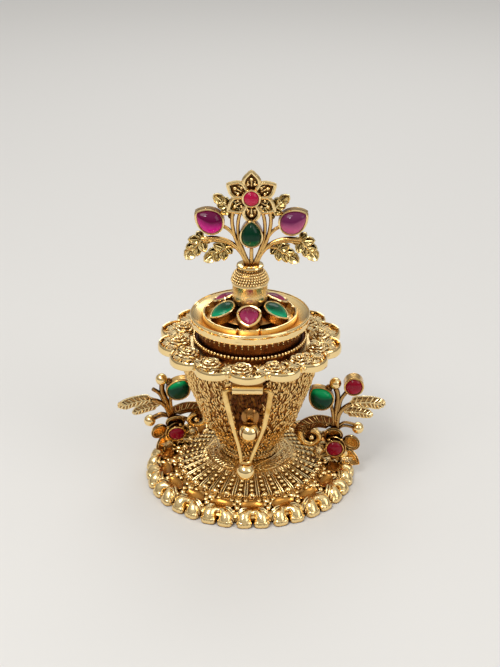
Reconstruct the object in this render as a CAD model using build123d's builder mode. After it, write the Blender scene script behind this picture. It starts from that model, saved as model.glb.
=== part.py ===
from build123d import *
import os
from math import acos, atan2, cos, degrees, radians, sin

# Sindoor box: a round footed base, a cup, a hinged lid with a scalloped flange and a small
# flowering tree in a pot, a loop latch at the front and a gem-set spray at each side.
# Millimetres, +Z up, front towards -Y, origin at the middle of the underside.

os.makedirs("parts", exist_ok=True)

# Sheet thickness and the clearances that every fit uses
sheet = 0.45
solder_gap = 0.04
stone_gap = 0.03
running = 0.05
seat_gap = 0.1
end_play = 0.1
root_depth = 0.3
front = 270.0

# Base
base_radius = 22.8
rim_units = 18
rim_phase = 3.3
toe_radius = 1.62
toe_spread = 4.35
toe_side_count = 8
toe_height = 2.4
rim_inner = 18.4
ridge_edge = 19.8
rim_seat = 1.9
gutter_radius = 19.3
gutter_height = 1.6
ridge_setback = 0.72
ridge_width = 1.1
ridge_top = 3.1
ridge_span = 14.5
rim_groove = (19.2, 20.5, 1.3)
floor_sheet = 0.35
dome_edge = 1.9
knee_radius = 8.6
knee_height = 5.45
crown_radius = 6.3
crown_height = 6.1
crown_bore = 3.2
wire_width = 0.8
wire_height = 0.3
wire_start = 0.3
wire_outer = 14.4
granule_rows = ((15.4, 0.8), (13.4, 0.55))
granule_side_counts = (6, 4)

# Cup
foot_radius = 5.9
foot_neck = 4.9
foot_height = 1.85
cup_bottom = crown_height + foot_height
cup_top = 31.6
cup_mouth = 15.1
cup_lip = 1.0
cup_shape = ((6.6, 1.05), (8.1, 3.95), (9.85, 6.35), (13.2, 15.65))
rim_ring_width = 0.6

# Front latch
latch_y = -17.0
latch_z = cup_top - 2.2
tube_radius = 1.0
tube_length = 6.3
latch_wire = 0.5
strap_width = 1.1
strap_depth = 1.0
loop_shoulder = 4.6
stub_length = 2.6
loop_legs = (
    (-1, (-3.9, 24.6), (-2.45, 18.8), (-1.65, 12.0)),
    (1, (4.15, 24.6), (3.05, 19.2), (0.95, 12.0)),
)
loop_end = 12.35
shoulder_radius = 0.9
loop_bend = 7.0
tip_ball_radius = 1.9
tip_ball_x = -0.4
tip_ball_z = 10.2
knob_radius = 2.1
knob_x = 0.3
knob_y = -15.6
knob_z = 18.8
stud_radius = 0.75

# Rear hinge
hinge_y = cup_mouth + 2.2
hinge_z = cup_top - 1.3
pin_radius = 0.5
knuckle_radius = 1.1
lid_knuckle = 3.0
cup_knuckle = 2.4
leaf_sheet = 1.0
pin_head_radius = 0.85
pin_head = 0.35

# Lid flange
flange_bottom = cup_top + seat_gap
flange_sheet = 0.7
flange_lobes = 14
lobe_radius = 4.35
flange_radius = 19.65
band_height = 1.8
band_sheet = 0.5
flower_circle = 15.0
flower_phase = -5.2
flower_radius = 2.4
flower_height = 1.5
leaf_tip = 18.7

# Lid drum, channel and fret
drum_radius = 11.0
drum_rise = 5.4
drum_top = flange_bottom + drum_rise
bead_circle = 12.2
bead_height = 1.7
lid_rim_radius = 12.6
lid_rim_wall = 0.75
lid_rim_height = 2.1
lid_rim_top = drum_top + lid_rim_height
tray_sheet = 0.4
fret_radius = 9.9
fret_wall = 0.5
cusp_radius = 1.9
cusp_circle = 10.9

# Six set stones round the pot
gem_slope = 24.0
gem_circle = 6.1
gem_rise = 1.75
gem_top = lid_rim_top + gem_rise
bezel_wall = 0.42
bezel_depth = 1.5
stone_depth = 0.9
stone_crown = 0.9
stone_side_count = 14
pink_radius = 2.6
pink_tip = 3.0
green_radius = 2.35
green_tip = 3.4
hub_bore = 2.6
hub_low_radius = 4.5
hub_wide = (6.9, gem_top - 1.9)
hub_shoulder = (3.1, gem_top - 0.2)

# Pot finial
pot_stand = 1.35
pot_bottom = gem_top + pot_stand
pot_foot_radius = 3.2
pot_shoulder_radius = 3.5
pot_belly = 4.2
pot_shoulder = pot_bottom + pot_belly
pot_neck_radius = 2.25
pot_slope = 2.5
pot_neck = pot_shoulder + pot_slope
pot_lip_radius = 2.65
pot_lip_height = 0.9
lip_round = 0.25
pot_bore = 1.5
pot_bore_depth = 1.6
pot_web_sheet = 1.2
pot_web = pot_neck - pot_bore_depth - pot_web_sheet
pot_rows = ((2.95, 0.3),)
pot_granule_count = 16

# Tree, in its own upright plane, with heights from the pot's mouth
tree_x = 0.3
tree_sheet = 1.1
flower_z = 14.45
petal_start = 1.2
petal_tip = 5.65
petal_width = 3.1
tree_bezel_depth = 2.0
tree_bezel_rise = 0.35
tree_ruby_radius = 1.95
drop_radius = 2.75
drop_tip = 3.9
drop_x = 8.2
drop_z = 9.3
drop_turn = 33.0
tree_green_radius = 2.45
tree_green_tip = 3.7
tree_green_z = 6.25
root_radius = pot_bore - 0.05
trunk_width = 0.9

# Side sprays, each in its own plane
spray_sheet = 1.2
spray_ruby_radius = 2.1
spray_green_radius = 2.85
spray_green_tip = 3.6
spray_green_at = (-3.1, 12.75)
spray_green_turn = 128.0
spray_round_radius = 2.15
spray_round_at = (3.7, 16.2)
spray_round_depth = 2.4
spray_rise = 0.3
spray_round_rise = 0.9
spray_ball_rise = 0.15
ball_side_count = 8
ball_zone_count = 6
spray_ball_radius = 1.32
spray_balls_at = ((-0.1, 16.3), (5.05, 5.4))
spray_petal_circle = 3.0
spray_petal_radius = 1.65
spray_curl_at = (-5.5, 3.1)
spray_curl_radius = 1.8
spray_foot = -4.2
right_spray_origin = (18.65, 0.0, 6.1)
left_spray_origin = (-16.6, 5.0, 6.8)
left_spray_roll = 12.4
left_spray_lean = 13.0
left_spray_yaw = 9.0


def save(piece, name):
    """Label a finished sub-part and write its file."""
    piece.part.label = name
    export_step(piece.part, f"parts/{name}.step")


def dome_height(radius):
    """Height of the domed plate's upper side at a radius."""
    if radius > knee_radius:
        share = (radius - knee_radius) / (rim_inner - solder_gap - knee_radius)
        return knee_height + share * (dome_edge - knee_height)
    share = (radius - crown_radius) / (knee_radius - crown_radius)
    return crown_height + share * (knee_height - crown_height)


def dome_tilt(radius):
    """Slope of the domed plate's upper side at a radius, in degrees from level."""
    step = 0.01
    return degrees(atan2(dome_height(radius) - dome_height(radius + step), step))


def slope_plane(radius, azimuth, height, tilt):
    """Plane on a ring about the middle, with X outwards and its face tilted outwards."""
    t, s = radians(azimuth), radians(tilt)
    return Plane(
        origin=(radius * cos(t), radius * sin(t), height),
        x_dir=(cos(t) * cos(s), sin(t) * cos(s), -sin(s)),
        z_dir=(cos(t) * sin(s), sin(t) * sin(s), cos(s)),
    )


def spray_plane(origin, roll, lean, yaw):
    """Upright plane facing the front, turned in itself, leaned forwards and turned about Z."""
    return Plane(
        origin=origin,
        x_dir=turned((cos(radians(roll)), 0, sin(radians(roll))), lean, yaw),
        z_dir=turned((0, -1, 0), lean, yaw),
    )


def turned(vector, lean, yaw):
    """A direction leaned about X so that its top comes forwards, then turned about Z."""
    return Vector(*vector).rotate(Axis.X, lean).rotate(Axis.Z, yaw)


def drop_outline(radius, tip):
    """Drop with its round end about the origin and its tip out along X; round if tip is the radius."""
    spread = degrees(acos(radius / tip))
    count = stone_side_count if tip > radius else stone_side_count - 1
    turns = [radians(spread + (360 - 2 * spread) * n / count) for n in range(count + 1)]
    points = [(radius * cos(turn), radius * sin(turn)) for turn in turns]
    if tip > radius:
        points.append((tip, 0))
    else:
        points.pop()
    with BuildSketch() as outline:
        with BuildLine():
            Polyline(*points, close=True)
        make_face()
    return outline.sketch


def lens_outline(length, width):
    """Leaf blade from the origin out along X."""
    flank = [(0.28 * length, 0.46 * width), (0.62 * length, 0.42 * width)]
    with BuildSketch() as outline:
        with BuildLine():
            Polyline((0, 0), *flank, (length, 0), *[(x, -y) for x, y in reversed(flank)], close=True)
        make_face()
    return outline.sketch


def leaf_outline(length, width, lobes=2):
    """Lobed leaf: one blade with shorter blades leaving the midrib on both sides."""
    blade = lens_outline(length, width * 0.6)
    for number in range(lobes):
        start = length * (0.1 + 0.28 * number)
        reach = width * (0.85 - 0.16 * number)
        for side in (-1, 1):
            blade += Pos(start, 0) * Rot(0, 0, side * 42) * lens_outline(reach, reach * 0.42)
    return blade


def bead(radius, sides):
    """Small ball, faceted: a short prism with both its ends cut back all round."""
    with BuildPart() as ball:
        with BuildSketch(Plane.XY.offset(-0.94 * radius)):
            RegularPolygon(radius, sides)
        extrude(amount=1.88 * radius)
        ends = ball.edges().group_by(Axis.Z)
        chamfer(ends[0] + ends[-1], 0.54 * radius)
    return ball.part


def ball_body(radius):
    """Polished ball: straight-sided zones turned about Z, close to a true sphere."""
    rise = [(n - ball_zone_count / 2) * 180 / ball_zone_count for n in range(ball_zone_count + 1)]
    with BuildPart() as ball:
        with BuildSketch(Plane.XZ):
            with BuildLine():
                Polyline(*[(radius * cos(radians(a)), radius * sin(radians(a))) for a in rise], close=True)
            make_face()
        revolve(axis=Axis.Z)
    return ball.part


def stone_body(radius, tip, depth=stone_depth, crown=stone_crown):
    """Cabochon for a bezel of this outside size: a straight girdle and a rounded crown."""
    radius -= bezel_wall + stone_gap
    tip -= bezel_wall + stone_gap
    with BuildPart() as stone:
        with BuildSketch(Plane.XY.offset(stone_gap - depth)):
            add(drop_outline(radius, tip))
        extrude(amount=depth - stone_gap)
        with BuildSketch():
            add(drop_outline(radius, tip))
        extrude(amount=crown, taper=42)
    return stone.part


def bezel_body(radius, tip, height, recess=stone_depth):
    """Bezel cup with its mouth on the origin plane and a blind seat for the stone."""
    with BuildPart() as cup:
        with BuildSketch(Plane.XY.offset(-height)):
            add(drop_outline(radius, tip))
        extrude(amount=height)
        with BuildSketch():
            add(drop_outline(radius - bezel_wall, tip - bezel_wall))
        extrude(amount=-recess, mode=Mode.SUBTRACT)
    return cup.part


def granule(size, sides, height):
    """Soldered grain: a short tapered prism that stands on the origin plane."""
    with BuildPart() as grain:
        with BuildSketch():
            RegularPolygon(size, sides)
        extrude(amount=height, taper=24)
    return grain.part


# Base: the scalloped rim, pairs of toes joined by a ridge round a carrying ring
toe_circle = base_radius - toe_radius
with BuildPart() as rim_body:
    with BuildSketch(Plane.XZ):
        with BuildLine():
            Polyline(
                (rim_inner, 0), (toe_circle, 0), (toe_circle, toe_height),
                (ridge_edge, toe_height), (gutter_radius, gutter_height),
                (rim_inner, rim_seat), close=True,
            )
        make_face()
    revolve(axis=Axis.Z)
toe_starts = [front + rim_phase + side * toe_spread for side in (-1, 1)]
ridge_radius = toe_circle - ridge_setback
bar_length = 2 * ridge_radius * sin(radians(ridge_span / 2))
with BuildPart() as base_rim:
    add(rim_body.part)
    with BuildSketch():
        Circle(rim_groove[1])
        Circle(rim_groove[0], mode=Mode.SUBTRACT)
    extrude(amount=rim_groove[2], mode=Mode.SUBTRACT)
    with BuildSketch():
        for start in toe_starts:
            with PolarLocations(toe_circle, rim_units, start_angle=start):
                RegularPolygon(toe_radius, toe_side_count)
        Circle(toe_circle - root_depth, mode=Mode.SUBTRACT)
    extrude(amount=toe_height)
    with BuildSketch(Plane.XY.offset(toe_height)):
        with PolarLocations(ridge_radius, rim_units, start_angle=front + rim_phase):
            Rectangle(ridge_width, bar_length)
    extrude(amount=ridge_top - toe_height)
save(base_rim, "base_rim")

# Base: thin closing disc inside the rim
with BuildPart() as base_floor:
    with BuildSketch():
        Circle(rim_inner - solder_gap)
    extrude(amount=floor_sheet)
save(base_floor, "base_floor")

# Base: domed plate that carries the wires, the granules and the cup's foot
with BuildPart() as base_plate:
    with BuildSketch(Plane.XZ):
        edge = rim_inner - solder_gap
        with BuildLine():
            Polyline(
                (edge, dome_edge - sheet), (edge, dome_edge), (knee_radius, knee_height),
                (crown_radius, crown_height), (crown_bore, crown_height),
                (crown_bore, crown_height - sheet), (crown_radius - sheet / 3, crown_height - sheet),
                (knee_radius - sheet / 3, knee_height - sheet), (edge - sheet, dome_edge - sheet),
                close=True,
            )
        make_face()
    revolve(axis=Axis.Z)
save(base_plate, "base_plate")

with BuildPart() as base_space:
    with BuildSketch(Plane.XZ):
        with BuildLine():
            Polyline(
                (0, 0), (edge, 0), (edge, dome_edge), (knee_radius, knee_height),
                (crown_radius, crown_height), (0, crown_height), close=True,
            )
        make_face()
    revolve(axis=Axis.Z)

# Base: radial ribs soldered on the dome, one between each two granules of a ring
sectors = 2 * rim_units
rib_low = [(r, dome_height(r)) for r in (knee_radius + wire_start, wire_outer)]
rib_high = [(r, z + wire_height) for r, z in reversed(rib_low)]
with BuildPart() as rib:
    with BuildSketch(Plane.XZ):
        with BuildLine():
            Polyline(*rib_low, *rib_high, close=True)
        make_face()
    extrude(amount=wire_width / 2, both=True)
with BuildPart() as base_ray_wires:
    half_sector = 180 / sectors
    with PolarLocations(0, sectors, start_angle=front + rim_phase + half_sector):
        add(rib.part)
save(base_ray_wires, "base_ray_wires")

# Side sprays: where each one stands
right_plane = Plane(origin=right_spray_origin, x_dir=(1, 0, 0), z_dir=(0, -1, 0))
left_plane = spray_plane(left_spray_origin, left_spray_roll, left_spray_lean, left_spray_yaw)


def spray_casting(side, settings):
    """Flat outline of a spray's casting, with room for its settings; side is 1 or -1."""
    def at(point):
        return (side * point[0], point[1])

    stems = [
        ((0.0, 2.0), (0.15, 6.4), (-0.1, 16.3), 1.2),
        ((0.1, 6.6), (-1.1, 8.7), (-2.4, 10.4), 0.8),
        ((0.3, 6.4), (1.3, 10.2), (4.4, 12.3), 1.0),
        ((0.2, 6.2), (2.4, 6.5), (5.0, 5.4), 1.0),
        ((-0.2, 6.1), (-4.3, 7.5), (-7.25, 4.2), 2.1),
        ((0.0, -2.0), (0.1, -3.1), (0.0, spray_foot), 2.6),
    ]
    if len(settings) == 3:
        stems.append(((0.5, 7.2), (1.9, 10.8), (3.9, 14.6), 0.9))
    with BuildSketch() as casting:
        for first, middle, last, width in stems:
            with BuildLine():
                ThreePointArc(at(first), at(middle), at(last))
            trace(line_width=width)
        with PolarLocations(spray_petal_circle, 5, start_angle=90 - side * 60):
            Circle(spray_petal_radius)
        Circle(spray_petal_circle - root_depth)
        with Locations(at(spray_curl_at)):
            Circle(spray_curl_radius)
        for first, angle, length, width in (((2.6, 11.2), 3, 9.4, 3.3), ((2.9, 10.8), -17, 6.8, 2.8)):
            turn = angle if side > 0 else 180 - angle
            add(Pos(*at(first)) * Rot(0, 0, turn) * lens_outline(length, width))
        for place, radius, tip, rise, height in settings:
            add(place * drop_outline(radius, tip), mode=Mode.SUBTRACT)
    return casting.sketch


def spray_settings(side, has_round):
    """Each setting: its place in the spray's plane, its radius, tip, rise and height."""
    def at(point):
        return Pos(side * point[0], point[1])

    half = spray_sheet / 2
    low = half + spray_rise
    green_turn = spray_green_turn if side > 0 else 180 - spray_green_turn
    settings = [
        (at(spray_green_at) * Rot(0, 0, green_turn), spray_green_radius, spray_green_tip, low, low + half),
        (at((0, 0)), spray_ruby_radius, spray_ruby_radius, low, low + half),
    ]
    if has_round:
        settings.append((at(spray_round_at), spray_round_radius, spray_round_radius,
                         half + spray_round_rise, spray_round_depth))
    return settings


castings = []
for name, plane, side, has_round in (
    ("right", right_plane, 1, True), ("left", left_plane, -1, False),
):
    place = plane.location
    settings = spray_settings(side, has_round)
    mouths = [place * Pos(0, 0, rise) * seat for seat, radius, tip, rise, height in settings]
    balls = [place * Pos(side * u, v, spray_ball_rise) * bead(spray_ball_radius, ball_side_count)
             for u, v in spray_balls_at]
    with BuildPart() as casting:
        with BuildSketch(plane):
            add(spray_casting(side, settings))
        extrude(amount=spray_sheet / 2, both=True)
        add(balls, mode=Mode.SUBTRACT)
        add(base_space.part, mode=Mode.SUBTRACT)
        add(base_rim.part, mode=Mode.SUBTRACT)
        add(base_ray_wires.part, mode=Mode.SUBTRACT)
    save(casting, f"{name}_spray")
    castings.append(casting.part)
    with BuildPart() as bezels:
        add([mouth * bezel_body(radius, tip, height)
             for mouth, (seat, radius, tip, rise, height) in zip(mouths, settings)])
    save(bezels, f"{name}_spray_bezels")
    stones = [mouth * stone_body(radius, tip)
              for mouth, (seat, radius, tip, rise, height) in zip(mouths, settings)]
    with BuildPart() as green_stone:
        add(stones[0])
    save(green_stone, f"{name}_spray_green_stone")
    with BuildPart() as ruby_stones:
        add(stones[1:])
    save(ruby_stones, f"{name}_spray_ruby_stones")
    with BuildPart() as ends:
        add(balls)
    save(ends, f"{name}_spray_balls")

# Base: granules, one large ring outside and smaller rings between the wires; the outer ring
# leaves out those that the foot of a spray stands on
with BuildPart() as base_granules:
    for (ring_radius, size), sides in zip(granule_rows, granule_side_counts):
        tilt = dome_tilt(ring_radius)
        planes = [slope_plane(ring_radius, front + rim_phase + n * 360 / sectors,
                              dome_height(ring_radius), tilt) for n in range(sectors)]
        free = [plane.location for plane in planes
                if all(Vertex(*plane.origin).distance_to(body) > size * 1.6 for body in castings)]
        grain = granule(size, sides, size * 1.1)
        add([place * grain for place in free])
save(base_granules, "base_granules")

# Cup: turned foot, bowl and the ring round its mouth
with BuildPart() as cup_foot:
    with BuildSketch(Plane.XZ):
        with BuildLine():
            Polyline(
                (crown_bore, crown_height), (foot_radius, crown_height),
                (foot_radius, crown_height + foot_height * 0.3),
                (foot_neck, cup_bottom - foot_height * 0.3), (foot_neck, cup_bottom),
                (crown_bore, cup_bottom), close=True,
            )
        make_face()
    revolve(axis=Axis.Z)
save(cup_foot, "cup_foot")

outside = [(foot_neck, cup_bottom)]
outside += [(r, cup_bottom + rise) for r, rise in cup_shape]
outside += [(cup_mouth, cup_top - cup_lip), (cup_mouth, cup_top)]
inside = [(r - sheet, z + sheet * 0.35) for r, z in outside[1:-1]]
with BuildPart() as cup_bowl:
    with BuildSketch(Plane.XZ):
        with BuildLine():
            Polyline(
                (0, cup_bottom), *outside, (cup_mouth - sheet, cup_top), *reversed(inside),
                (foot_neck - sheet, cup_bottom + sheet), (0, cup_bottom + sheet), close=True,
            )
        make_face()
    revolve(axis=Axis.Z)
save(cup_bowl, "cup_bowl")

with BuildPart() as cup_space:
    with BuildSketch(Plane.XZ):
        with BuildLine():
            Polyline((0, cup_bottom), *outside, (0, cup_top), close=True)
        make_face()
    revolve(axis=Axis.Z)

ring_outer = cup_mouth + solder_gap + rim_ring_width
with BuildPart() as cup_rim:
    with BuildSketch(Plane.XY.offset(cup_top - cup_lip + solder_gap)):
        Circle(ring_outer)
        Circle(cup_mouth + solder_gap, mode=Mode.SUBTRACT)
    extrude(amount=cup_lip - solder_gap)
save(cup_rim, "cup_rim")

# Knob that the loop goes over, on a stud in the cup's wall
with BuildPart() as latch_knob:
    with Locations((knob_x, knob_y, knob_z)):
        add(ball_body(knob_radius))
    with BuildSketch(Plane(origin=(knob_x, knob_y, knob_z), x_dir=(1, 0, 0), z_dir=(0, 1, 0))):
        Circle(stud_radius)
    extrude(amount=-knob_y - cup_shape[1][0])
    add(cup_space.part, mode=Mode.SUBTRACT)
save(latch_knob, "latch_knob")

# Rear hinge: two knuckles on the cup, one on the lid, and the pin through them
hinge_half = lid_knuckle / 2 + end_play + cup_knuckle
bore_radius = pin_radius + running
with BuildPart() as hinge_leaf_cup:
    for side in (-1, 1):
        middle = side * (lid_knuckle / 2 + end_play + cup_knuckle / 2)
        with BuildSketch(Plane.YZ.offset(middle)):
            with Locations((hinge_y, hinge_z)):
                Circle(knuckle_radius)
            with Locations(((hinge_y + cup_mouth - 1) / 2, hinge_z)):
                Rectangle(hinge_y - cup_mouth + 1, leaf_sheet)
            with Locations((hinge_y, hinge_z)):
                Circle(bore_radius, mode=Mode.SUBTRACT)
        extrude(amount=cup_knuckle / 2, both=True)
    add(cup_space.part, mode=Mode.SUBTRACT)
    add(cup_rim.part, mode=Mode.SUBTRACT)
save(hinge_leaf_cup, "hinge_leaf_cup")

with BuildPart() as hinge_leaf_lid:
    with BuildSketch(Plane.YZ):
        with Locations((hinge_y, hinge_z)):
            Circle(knuckle_radius)
        with Locations((hinge_y, (hinge_z + flange_bottom) / 2)):
            Rectangle(leaf_sheet, flange_bottom - hinge_z)
        with Locations((hinge_y, hinge_z)):
            Circle(bore_radius, mode=Mode.SUBTRACT)
    extrude(amount=lid_knuckle / 2, both=True)
save(hinge_leaf_lid, "hinge_leaf_lid")

with BuildPart() as hinge_pin:
    with Locations(Location((0, hinge_y, hinge_z), (0, 90, 0))):
        Cylinder(pin_radius, 2 * hinge_half)
    for side in (-1, 1):
        middle = side * (hinge_half + pin_head / 2)
        with Locations(Location((middle, hinge_y, hinge_z), (0, 90, 0))):
            Cylinder(pin_head_radius, pin_head)
save(hinge_pin, "hinge_pin")

# Lid: scalloped flange plate, the band round it and its ring of flowers
lobe_circle = flange_radius - lobe_radius
with BuildSketch() as lobes:
    Circle(lobe_circle)
    with PolarLocations(lobe_circle, flange_lobes, start_angle=front):
        Circle(lobe_radius)
with BuildPart() as flange_plate:
    with BuildSketch(Plane.XY.offset(flange_bottom)):
        Circle(lobe_circle)
        with PolarLocations(lobe_circle, flange_lobes, start_angle=front):
            Circle(lobe_radius - band_sheet - solder_gap)
        Circle(drum_radius - sheet, mode=Mode.SUBTRACT)
    extrude(amount=flange_sheet)
save(flange_plate, "flange_plate")

flange_top = flange_bottom + flange_sheet
with BuildPart() as flange_band:
    with BuildSketch(Plane.XY.offset(flange_bottom)):
        add(lobes.sketch)
        Circle(lobe_circle, mode=Mode.SUBTRACT)
        with PolarLocations(lobe_circle, flange_lobes, start_angle=front):
            Circle(lobe_radius - band_sheet, mode=Mode.SUBTRACT)
    extrude(amount=band_height)
save(flange_band, "flange_band")

with BuildPart() as flange_flowers:
    with BuildSketch(Plane.XY.offset(flange_top)):
        with PolarLocations(flower_circle, flange_lobes, start_angle=front + flower_phase):
            RegularPolygon(flower_radius, 8)
    extrude(amount=flower_height)
    with BuildSketch(Plane.XY.offset(flange_top)):
        reach = leaf_tip - flower_circle
        with PolarLocations(flower_circle, flange_lobes, start_angle=front):
            add(lens_outline(reach, reach * 0.9))
    extrude(amount=flower_height * 0.6)
save(flange_flowers, "flange_flowers")

# Lid: drum, milgrain ring, polished rim, tray and fret
with BuildPart() as lid_drum:
    with BuildSketch(Plane.XY.offset(flange_top)):
        Circle(drum_radius)
        Circle(drum_radius - sheet, mode=Mode.SUBTRACT)
    extrude(amount=drum_top - flange_top)
save(lid_drum, "lid_drum")

with BuildPart() as beaded_ring:
    with BuildSketch(Plane.XY.offset(flange_top)):
        Circle(bead_circle)
        Circle(drum_radius + solder_gap, mode=Mode.SUBTRACT)
    extrude(amount=bead_height)
    chamfer(beaded_ring.edges().group_by(Axis.Z)[-1], (bead_circle - drum_radius) * 0.28)
save(beaded_ring, "beaded_ring")

with BuildPart() as lid_rim:
    with BuildSketch(Plane.XY.offset(drum_top)):
        Circle(lid_rim_radius)
        Circle(lid_rim_radius - lid_rim_wall, mode=Mode.SUBTRACT)
    extrude(amount=lid_rim_top - drum_top)
save(lid_rim, "lid_rim")

with BuildPart() as lid_tray:
    with BuildSketch(Plane.XY.offset(drum_top)):
        Circle(lid_rim_radius - lid_rim_wall - solder_gap)
    extrude(amount=tray_sheet)
save(lid_tray, "lid_tray")

tray_top = drum_top + tray_sheet
with BuildSketch() as fret_outer:
    Circle(fret_radius)
    with PolarLocations(cusp_circle, 3, start_angle=front):
        Circle(cusp_radius, mode=Mode.SUBTRACT)
with BuildSketch() as fret_inner:
    Circle(fret_radius - fret_wall)
    with PolarLocations(cusp_circle, 3, start_angle=front):
        Circle(cusp_radius + fret_wall, mode=Mode.SUBTRACT)
with BuildPart() as lid_fret:
    with BuildSketch(Plane.XY.offset(tray_top)):
        add(fret_outer.sketch)
        add(fret_inner.sketch, mode=Mode.SUBTRACT)
    extrude(amount=lid_rim_top - tray_top)
save(lid_fret, "lid_fret")

# Lid: the six settings on a hub, and their stones
def gem_places(first):
    """Three places round the pot, sloping outwards, for the stones of one colour."""
    return [slope_plane(gem_circle, first + 120 * n, gem_top, gem_slope).location for n in range(3)]


pink_places = gem_places(front)
green_places = gem_places(front + 180 / 3)
with BuildPart() as lid_hub:
    with BuildSketch(Plane.XZ):
        with BuildLine():
            Polyline(
                (hub_bore, tray_top), (hub_low_radius, tray_top), hub_wide, hub_shoulder,
                (hub_shoulder[0], pot_bottom), (hub_bore, pot_bottom), close=True,
            )
        make_face()
    revolve(axis=Axis.Z)


def solid_drop(radius, tip, low, high):
    """Upright prism of a drop outline between two heights."""
    with BuildPart() as prism:
        with BuildSketch(Plane.XY.offset(low)):
            add(drop_outline(radius, tip))
        extrude(amount=high - low)
    return prism.part


cups = [(pink_places, pink_radius, pink_tip), (green_places, green_radius, green_tip)]
walls = [place * solid_drop(radius, tip, -bezel_depth, 0)
         for places, radius, tip in cups for place in places]
rooms = [place * solid_drop(radius - bezel_wall, tip - bezel_wall, -stone_depth, 2 * stone_crown)
         for places, radius, tip in cups for place in places]
with BuildPart() as lid_bezels:
    add(lid_hub.part)
    add(walls)
    add(rooms, mode=Mode.SUBTRACT)
    split(bisect_by=Plane.XY.offset(pot_bottom), keep=Keep.BOTTOM)
save(lid_bezels, "lid_bezels")

for name, places, radius, tip in (
    ("lid_pink_gems", pink_places, pink_radius, pink_tip),
    ("lid_green_gems", green_places, green_radius, green_tip),
):
    stone = stone_body(radius, tip)
    with BuildPart() as gems:
        add([place * stone for place in places])
        split(bisect_by=Plane.XY.offset(pot_bottom - stone_gap), keep=Keep.BOTTOM)
    save(gems, name)

# Finial: pot, its rolled lip and its granulated shoulder
shoulder_slope = (pot_shoulder_radius - pot_neck_radius) / (pot_neck - pot_shoulder)
with BuildPart() as pot_body:
    with BuildSketch(Plane.XZ):
        with BuildLine():
            Polyline(
                (hub_bore, pot_bottom), (pot_foot_radius, pot_bottom),
                (pot_shoulder_radius, pot_shoulder), (pot_neck_radius, pot_neck),
                (pot_bore, pot_neck), (pot_bore, pot_neck - pot_bore_depth),
                (0, pot_neck - pot_bore_depth), (0, pot_web), (hub_bore, pot_web), close=True,
            )
        make_face()
    revolve(axis=Axis.Z)
save(pot_body, "pot_body")

with BuildPart() as pot_lip:
    with BuildSketch(Plane.XZ):
        with BuildLine():
            inner = pot_bore
            Polyline(
                (inner, pot_neck), (pot_lip_radius - lip_round, pot_neck),
                (pot_lip_radius, pot_neck + pot_lip_height * 0.35),
                (pot_lip_radius, pot_neck + pot_lip_height * 0.65),
                (pot_lip_radius - lip_round, pot_neck + pot_lip_height),
                (inner, pot_neck + pot_lip_height), close=True,
            )
        make_face()
    revolve(axis=Axis.Z)
save(pot_lip, "pot_lip")

with BuildPart() as pot_granules:
    tilt = degrees(atan2(1, shoulder_slope))
    for row_radius, size in pot_rows:
        height = pot_shoulder + (pot_shoulder_radius - row_radius) / shoulder_slope
        grain = granule(size, 4, size)
        add([slope_plane(row_radius, front + n * 360 / pot_granule_count, height, tilt).location * grain
             for n in range(pot_granule_count)])
save(pot_granules, "pot_granules")

# Tree: flat casting of stems, leaves and a flower, with its settings and stones
pot_mouth = pot_neck + pot_lip_height
tree_plane = Plane(origin=(tree_x, 0, pot_mouth), x_dir=(1, 0, 0), z_dir=(0, -1, 0))
tree_half = tree_sheet / 2
tree_stem_arcs = (
    ((-0.35, -0.3), (-2.0, 4.3), (-2.6, 7.3), 0.75),
    ((-2.6, 7.3), (-2.5, 10.1), (-1.5, 12.5), 0.75),
    ((-0.8, -0.3), (-2.5, 3.7), (-3.45, 6.7), 0.75),
    ((-3.45, 6.7), (-3.9, 8.9), (-3.8, 11.6), 0.75),
    ((-2.3, 3.1), (-3.4, 6.2), (-5.8, 8.4), 0.75),
    ((-0.8, -0.3), (-1.9, 2.7), (-4.5, 4.9), 0.95),
    ((-4.5, 4.9), (-7.2, 5.65), (-10.4, 5.3), 0.95),
    ((-2.0, 2.7), (-3.4, 3.6), (-5.4, 3.5), 0.6),
)
tree_leaf_places = (
    ((-10.0, 5.6), 232, 5.5, 4.2), ((-5.1, 3.6), 212, 5.3, 3.9), ((-3.7, 11.3), 136, 5.2, 3.4),
)
tree_settings = (
    ("tree_ruby", Pos(0, flower_z), tree_ruby_radius, tree_ruby_radius),
    ("tree_green_stone", Pos(0, tree_green_z) * Rot(0, 0, 90), tree_green_radius, tree_green_tip),
    ("tree_pink_stones", Pos(-drop_x, drop_z) * Rot(0, 0, 180 - drop_turn), drop_radius, drop_tip),
    ("tree_pink_stones", Pos(drop_x, drop_z) * Rot(0, 0, drop_turn), drop_radius, drop_tip),
)
tree_rooms = [seat * drop_outline(radius, tip) for name, seat, radius, tip in tree_settings]

with BuildSketch() as petals:
    with Locations((0, flower_z)):
        with PolarLocations(petal_start, 6, start_angle=90):
            add(lens_outline(petal_tip - petal_start, petal_width))
    for room in tree_rooms:
        add(room, mode=Mode.SUBTRACT)
with BuildSketch() as leaves:
    for start, turn, length, width in tree_leaf_places:
        for side in (-1, 1):
            add(Pos(-side * start[0], start[1]) * Rot(0, 0, turn if side < 0 else 180 - turn)
                * leaf_outline(length, width))
    for room in tree_rooms:
        add(room, mode=Mode.SUBTRACT)
    add(petals.sketch, mode=Mode.SUBTRACT)

with BuildPart() as tree_flower:
    with BuildSketch(tree_plane):
        add(petals.sketch)
    extrude(amount=tree_half, both=True)
save(tree_flower, "tree_flower")

with BuildPart() as tree_leaves:
    with BuildSketch(tree_plane):
        add(leaves.sketch)
    extrude(amount=tree_half * 0.8, both=True)
save(tree_leaves, "tree_leaves")

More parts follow.
